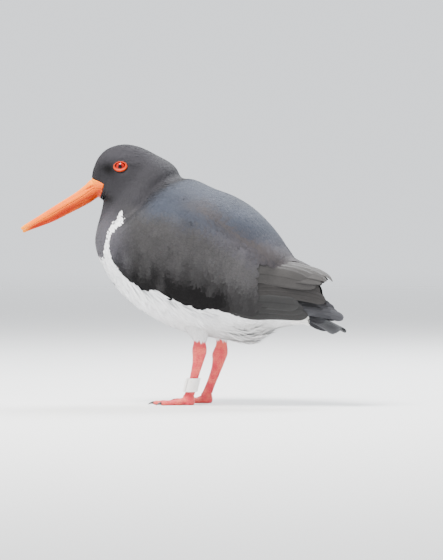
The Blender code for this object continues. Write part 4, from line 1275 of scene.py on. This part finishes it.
def buildRim(label, ballCentre, hit, normal, ahead, upward, material):
    around, tube = 120, 20
    turn, roll = np.meshgrid(spin(around), spin(tube), indexing="ij")
    c, s = column(np.cos(turn)), column(np.sin(turn))
    outward = eye["rimLong"] * c * ahead + eye["rimShort"] * s * upward
    edge = eye["lidLong"] * c * ahead + eye["lidShort"] * s * upward
    edgeHeight = np.sqrt(eye["ball"] ** 2 - dots(edge, edge))
    radial = unit(outward)
    crease = 1 + 0.05 * np.sin(turn * 31 + 2 * np.sin(turn * 5)) * np.cos(roll - 0.6)
    out = 0.9 * crease * np.cos(roll) * (1 + 0.22 * np.cos(turn) ** 8)
    up = 0.85 * crease * np.sin(roll)
    far = np.linalg.norm(outward + radial * column(out), axis=-1)
    sink = 0.25 - 0.012 * far ** 2
    points = hit + normal * 0.25 + outward + radial * column(out) + normal * column(up + sink)
    inner = column(np.clip(-np.cos(roll), 0, 1)) ** 1.2  # the lid slopes in from the rim to lie on the ball
    edgeUp = edgeHeight + 0.08 - 0.9 * (np.sin(roll) < -0.01)
    points = points + (ballCentre + edge + normal * column(edgeUp) - points) * inner
    shade = blend(np.array(eyeTones["rim"]), eyeTones["lid"], ease(0.2, 1.0, -np.cos(roll)))
    a, j = np.meshgrid(np.arange(around), np.arange(tube), indexing="ij")
    b, k = (a + 1) % around, (j + 1) % tube
    faces = np.stack([a * tube + j, b * tube + j, b * tube + k, a * tube + k], -1).reshape(-1, 4).tolist()
    addPiece(f"eye_rim_{label}", points, faces, "lid_skin", material, (f"eyelid_{label}",), None, shade)


def buildEyes():
    u, v = ringGrid(0.0, 6.0, 60, 120)
    tree = shellTree(trunk.at(u, v)[0])
    glass, rimSkin = eyeFinish(), rimFinish()
    for label, side in sides.items():
        centre, hit, normal, ahead, upward = eyeFrame(side, tree)
        ballCentre = centre + normal * eye["out"]
        buildBall(label, ballCentre, normal, ahead, upward, glass)
        buildRim(label, ballCentre, hit, normal, ahead, upward, rimSkin)


buildEyes()
print("eyes done")

# Each leg: sections of bare shin, ankle and shank as x, side, z, half depth, half width.
legSections = {
    "left": [
        (6.2, 20.0, 61.4, 5.2, 4.4), (6.3, 20.0, 57.0, 5.9, 4.5), (6.2, 20.0, 52.5, 6.8, 5.3),
        (6.0, 20.0, 48.0, 6.7, 5.2), (5.4, 20.0, 43.5, 5.9, 4.4), (4.0, 20.0, 37.0, 5.0, 3.7),
        (1.0, 20.0, 26.0, 4.2, 3.1), (-1.8, 20.0, 15.0, 4.4, 3.4), (-3.8, 20.0, 9.3, 5.0, 4.0),
    ],
    "right": [
        (14.6, 20.0, 61.4, 5.1, 4.4), (14.6, 20.0, 55.0, 5.3, 4.5), (13.8, 20.0, 50.0, 6.7, 5.3),
        (12.8, 20.2, 45.5, 7.4, 5.3), (11.9, 20.6, 41.0, 6.4, 4.6), (10.1, 21.0, 34.5, 5.4, 3.8),
        (6.2, 21.8, 24.5, 4.7, 3.2), (2.0, 22.4, 15.0, 4.6, 3.4), (-0.4, 22.6, 9.3, 5.0, 4.0),
    ],
}
scales = {"across": 1.9, "roundLeg": 13, "seam": 0.16, "tendon": 0.35}
# Sections of the knuckle that the toes leave, from the top down: height, half depth, half width.
knuckle = [
    (9.4, 5.0, 4.0), (7.8, 5.3, 4.3), (6.0, 5.6, 4.6), (3.2, 5.8, 5.0), (1.2, 5.4, 4.7), (0.15, 4.5, 4.0),
]
# Each toe: angle out, length, claw.
toes = {"inner": (-35.0, 23.5, 4.6), "middle": (7.0, 33.0, 5.2), "outer": (38.0, 27.0, 4.6)}
# Sections of a toe with its pads: share of its length, height, half depth, half width.
toeSections = [
    (0.00, 4.6, 3.2, 2.6), (0.10, 4.1, 3.3, 2.9), (0.20, 3.4, 3.2, 3.0), (0.30, 2.6, 2.6, 2.7),
    (0.38, 2.4, 2.5, 2.8), (0.47, 2.3, 2.6, 3.0), (0.56, 2.0, 2.15, 2.5), (0.66, 2.0, 2.2, 2.6),
    (0.74, 2.0, 2.35, 2.75), (0.84, 1.8, 1.95, 2.2), (0.93, 1.85, 2.0, 2.2), (1.00, 1.8, 1.5, 1.6),
]


def legFinish():
    look = Finish("leg_skin", Specular_IOR_Level=0.3)
    scutes = look.cells(800.0, "DISTANCE_TO_EDGE")
    seam = 1.0 - scutes.between(0.02, 0.16)
    blotch = look.noise(140.0, 3.0)
    flesh = look.mix(blotch.between(0.35, 0.65), (0.72, 0.045, 0.070), (0.86, 0.14, 0.105))
    look.colour(look.mix(seam * 0.5, flesh, (0.38, 0.010, 0.03)))
    look.rough(0.38 + seam * 0.2)
    look.bump(scutes.between(0.0, 0.22), 0.0004, 0.7)
    return look.material


def clawFinish():
    look = Finish("claw_horn", Base_Color=(0.022, 0.018, 0.016), Coat_Weight=0.3, Coat_Roughness=0.2)
    grain = look.noise(900.0, 3.0)
    look.colour(look.mix(grain.between(0.4, 0.8) * 0.5, (0.020, 0.017, 0.016), (0.075, 0.055, 0.045)))
    look.rough(0.28 + grain * 0.2)
    look.bump(grain, 0.00015, 0.4)
    return look.material


def hexSeam(a, b, size):  # 0 in the middle of a scale, 1 along the seam between scales
    best = np.full(a.shape, 1e9)
    second = np.full(a.shape, 1e9)
    rowStep = size * math.sqrt(3) / 2
    row = np.round(b / rowStep)
    for dr in (-1, 0, 1):
        r = row + dr
        offset = np.where(np.mod(r, 2) == 0, 0.0, size / 2)
        nearest = np.round((a - offset) / size)
        for dc in (-1, 0, 1):
            far = np.hypot(a - offset - (nearest + dc) * size, b - r * rowStep)
            second = np.where(far < best, best, np.minimum(second, far))
            best = np.minimum(best, far)
    return 1 - ease(0.0, 0.28 * size, second - best)


def buildLegs(material):
    rings, around = 190, 64
    at, turn = np.meshgrid(np.linspace(0, 8, rings), spin(around), indexing="ij")
    for label, side in sides.items():
        x, y, z, deep, wide = np.moveaxis(smoothRows(legSections[label], at), -1, 0)
        along = turn / (2 * np.pi) * scales["roundLeg"] * scales["across"]
        dent = scales["seam"] * hexSeam(along, z, scales["across"])
        tendon = bell(np.minimum(np.abs(turn - 1.2), np.abs(turn - 5.08)), 0, 0.35)
        tendon = tendon * ((at > 2.8) & (at < 7.6))
        dent = dent + scales["tendon"] * tendon
        points = np.stack([x + (deep - dent) * np.cos(turn), side * y + (wide - dent) * np.sin(turn), z], -1)
        faces = loftFaces(rings, around)
        addPiece(f"shank_{label}", points, faces, "leg_skin", material, (f"tarsus_{label}",))


def toeRing(middle, heading, height, deep, wide, floor):  # across a toe or a claw, flat where it stands
    turn = spin(40)
    y = wide * np.cos(turn)
    z = np.maximum(height + deep * np.sin(turn), floor)
    return np.stack([middle[0] - heading[1] * y, middle[1] + heading[0] * y, z], 1)


def buildFeet(material):
    horn = clawFinish()
    for label, side in sides.items():
        ankle = legSections[label][-1]
        foot = np.array([ankle[0] - 0.6, side * ankle[1]])
        turn = spin(40)
        parts = [[np.stack([foot[0] + deep * np.cos(turn), foot[1] + wide * np.sin(turn), z + 0 * turn], 1)
                  for z, deep, wide in smoothRows(knuckle, np.linspace(0, 5, 18))]]
        for toe, (out, length, clawLength) in toes.items():
            angle = math.radians(out)
            heading = np.array([-math.cos(angle), side * math.sin(angle)])
            parts.append([toeRing(foot + heading * length * part, heading, height, deep, wide, 0.02)
                          for part, height, deep, wide in smoothRows(toeSections, np.linspace(0, 11, 70))])
            tip = foot + heading * (length - 0.6)
            claw = []
            for part in np.linspace(0, 1, 26):
                size = 1.45 - 1.25 * part ** 1.3
                middle = tip + heading * (clawLength + 0.9) * part
                height = 2.0 + 0.7 * part - 2.35 * part ** 2
                claw.append(toeRing(middle, heading, height, size, 0.82 * size, 0.05))
            addPiece(f"claw_horn_{label}_{toe}", np.vstack(claw), loftFaces(26, 40), "claw_horn", horn,
                     (f"claw_{label}_{toe}",))
        faces, first = [], 0
        for rings in parts:
            faces += loftFaces(len(rings), 40, first)
            first += len(rings) * 40
        points = np.vstack([ring for rings in parts for ring in rings])
        obj = recalc(meshObject(f"toes_{label}", points, faces))
        knitToes(obj)
        place(obj, "leg_skin", material, f"foot_{label}")


def knitToes(obj):  # the toes and the knuckle become one skin
    knit = obj.modifiers.new("knit", "REMESH")
    knit.mode = "VOXEL"
    knit.voxel_size = 0.42 * mm
    smooth = obj.modifiers.new("smooth", "SMOOTH")
    smooth.factor = 0.5
    smooth.iterations = 4
    result = bpy.data.meshes.new_from_object(obj.evaluated_get(bpy.context.evaluated_depsgraph_get()))
    obj.modifiers.clear()
    obj.data = result
    result.polygons.foreach_set("use_smooth", [True] * len(result.polygons))


band = {
    "z": 18.6, "height": 12.6, "inner": 5.3, "thick": 1.0, "overlap": 0.55, "lap": 1.06, "corner": 0.32,
    "start": math.radians(205),
}


def bandFinish():
    look = Finish("band_plastic", Specular_IOR_Level=0.5, Coat_Weight=0.2, Coat_Roughness=0.2)
    scuff = look.noise(700.0, 5.0)
    stain = look.noise(160.0, 3.0)
    clean = look.mix(stain.between(0.5, 0.8) * 0.4, (0.86, 0.84, 0.81), (0.66, 0.60, 0.52))
    look.colour(look.mix(scuff.between(0.6, 0.8) * 0.3, clean, (0.58, 0.55, 0.52)))
    look.rough(0.34 + scuff * 0.25)
    look.bump(scuff, 0.00012, 0.35)
    return look.material


def bandProfile():  # rounded section of the strip: out from its middle, and up
    corner = band["corner"]
    flat, tall = band["thick"] / 2 - corner, band["height"] / 2 - corner
    profile = []
    for k, (sr, sz) in enumerate(((1, -1), (1, 1), (-1, 1), (-1, -1))):
        for angle in np.linspace(0, math.pi / 2, 5) + (k - 1) * math.pi / 2:
            profile.append((sr * flat + corner * math.cos(angle), sz * tall + corner * math.sin(angle)))
    return np.array(profile).T


def buildBand():
    rows = legSections["left"]
    low, high = rows[7], rows[6]
    slope = (high[0] - low[0]) / (high[2] - low[2])
    centreX = low[0] + slope * (band["z"] - low[2])
    turns = np.linspace(0, 2 * np.pi + band["overlap"], 150)  # a strip bent round until its ends overlap
    lap = band["lap"] * np.interp(turns, (2 * np.pi - 0.5, 2 * np.pi - 0.05), (0, 1))
    out, up = bandProfile()
    rings = []
    for angle, radius in zip(band["start"] + turns, band["inner"] + band["thick"] / 2 + lap):
        x = centreX + (radius + out) * math.cos(angle) + slope * up
        rings.append(np.stack([x, (radius + out) * math.sin(angle) - low[1], band["z"] + up], 1))
    faces = loftFaces(len(rings), len(up))
    addPiece("plastic_band", np.vstack(rings), faces, "band_plastic", bandFinish(), ("leg_band",))


legSkin = legFinish()
buildLegs(legSkin)
buildFeet(legSkin)
buildBand()
print("legs done")

studio = {
    "floor": (0.70, 0.70, 0.695), "cloud": (0.66, 0.66, 0.655), "sky": (0.93, 0.96, 1.0), "skyStrength": 1.42,
}
# Soft lamps: place, size, power, colour.
lamps = {
    "key": ((-0.45, -0.55, 1.6), 0.9, 104.0, (1.0, 0.98, 0.95)),
    "back_rim": ((0.3, 1.1, 1.3), 0.9, 56.0, (0.92, 0.96, 1.0)),
    "front_fill": ((-1.2, -1.2, 0.5), 1.0, 4.0, (1.0, 0.99, 0.97)),
}


def aim(obj, spot, towards):
    obj.location = spot
    obj.rotation_euler = Vector(towards).to_track_quat("-Z", "Y").to_euler()
    bpy.context.scene.collection.objects.link(obj)


def buildStage():
    look = Finish("studio_floor", Roughness=0.85)
    look.colour(look.mix(look.noise(3.0) * 0.2, studio["floor"], studio["cloud"]))
    reach = look.node("ShaderNodeVectorMath", {"operation": "LENGTH"}, {0: look.where()})["Value"]
    look.feed(look.shader.inputs["Alpha"], 1.0 - reach.between(0.9, 7.0))  # fades out into the backdrop
    shell = bmesh.new()
    bmesh.ops.create_circle(shell, cap_ends=True, segments=96, radius=40.0)
    mesh = bpy.data.meshes.new("floor")
    shell.to_mesh(mesh)
    shell.free()
    floor = bpy.data.objects.new("floor", mesh)
    bpy.context.scene.collection.objects.link(floor)
    floor.data.materials.append(look.material)


def buildLights():
    world = bpy.data.worlds.new("studio")
    bpy.context.scene.world = world
    world.use_nodes = True
    back = world.node_tree.nodes["Background"]
    back.inputs["Color"].default_value = (*studio["sky"], 1)
    back.inputs["Strength"].default_value = studio["skyStrength"]
    for name, (spot, size, power, colour) in lamps.items():
        data = bpy.data.lights.new(name, "AREA")
        data.shape = "DISK"
        data.size = size
        data.energy = power
        data.color = colour
        aim(bpy.data.objects.new(name, data), spot, Vector((0, 0, 0.13)) - Vector(spot))


# The picture is 443 by 560, and this much of the bird's plane fills its height.
picture = {"height": 520.8, "alongView": 20.0, "up": 115.3, "distance": 4.0, "elevation": 1.2, "sensor": 36.0}


def buildCamera():
    right = np.array((math.cos(viewAngle), math.sin(viewAngle), 0))
    target = right * (picture["alongView"] + frameShift[0] * math.cos(viewAngle)) + (0, 0, picture["up"])
    tilt = math.radians(picture["elevation"])
    level = math.cos(tilt)
    back = np.array((math.sin(viewAngle) * level, -math.cos(viewAngle) * level, math.sin(tilt)))
    data = bpy.data.cameras.new("camera")
    data.sensor_fit = "VERTICAL"
    data.sensor_height = picture["sensor"]
    data.lens = picture["sensor"] * picture["distance"] / (picture["height"] * mm)
    data.clip_end = 200
    camera = bpy.data.objects.new("camera", data)
    aim(camera, target * mm + back * picture["distance"], -back)
    bpy.context.scene.camera = camera


buildStage()
buildLights()
buildCamera()
print("stage done")

bpy.context.view_layer.update()
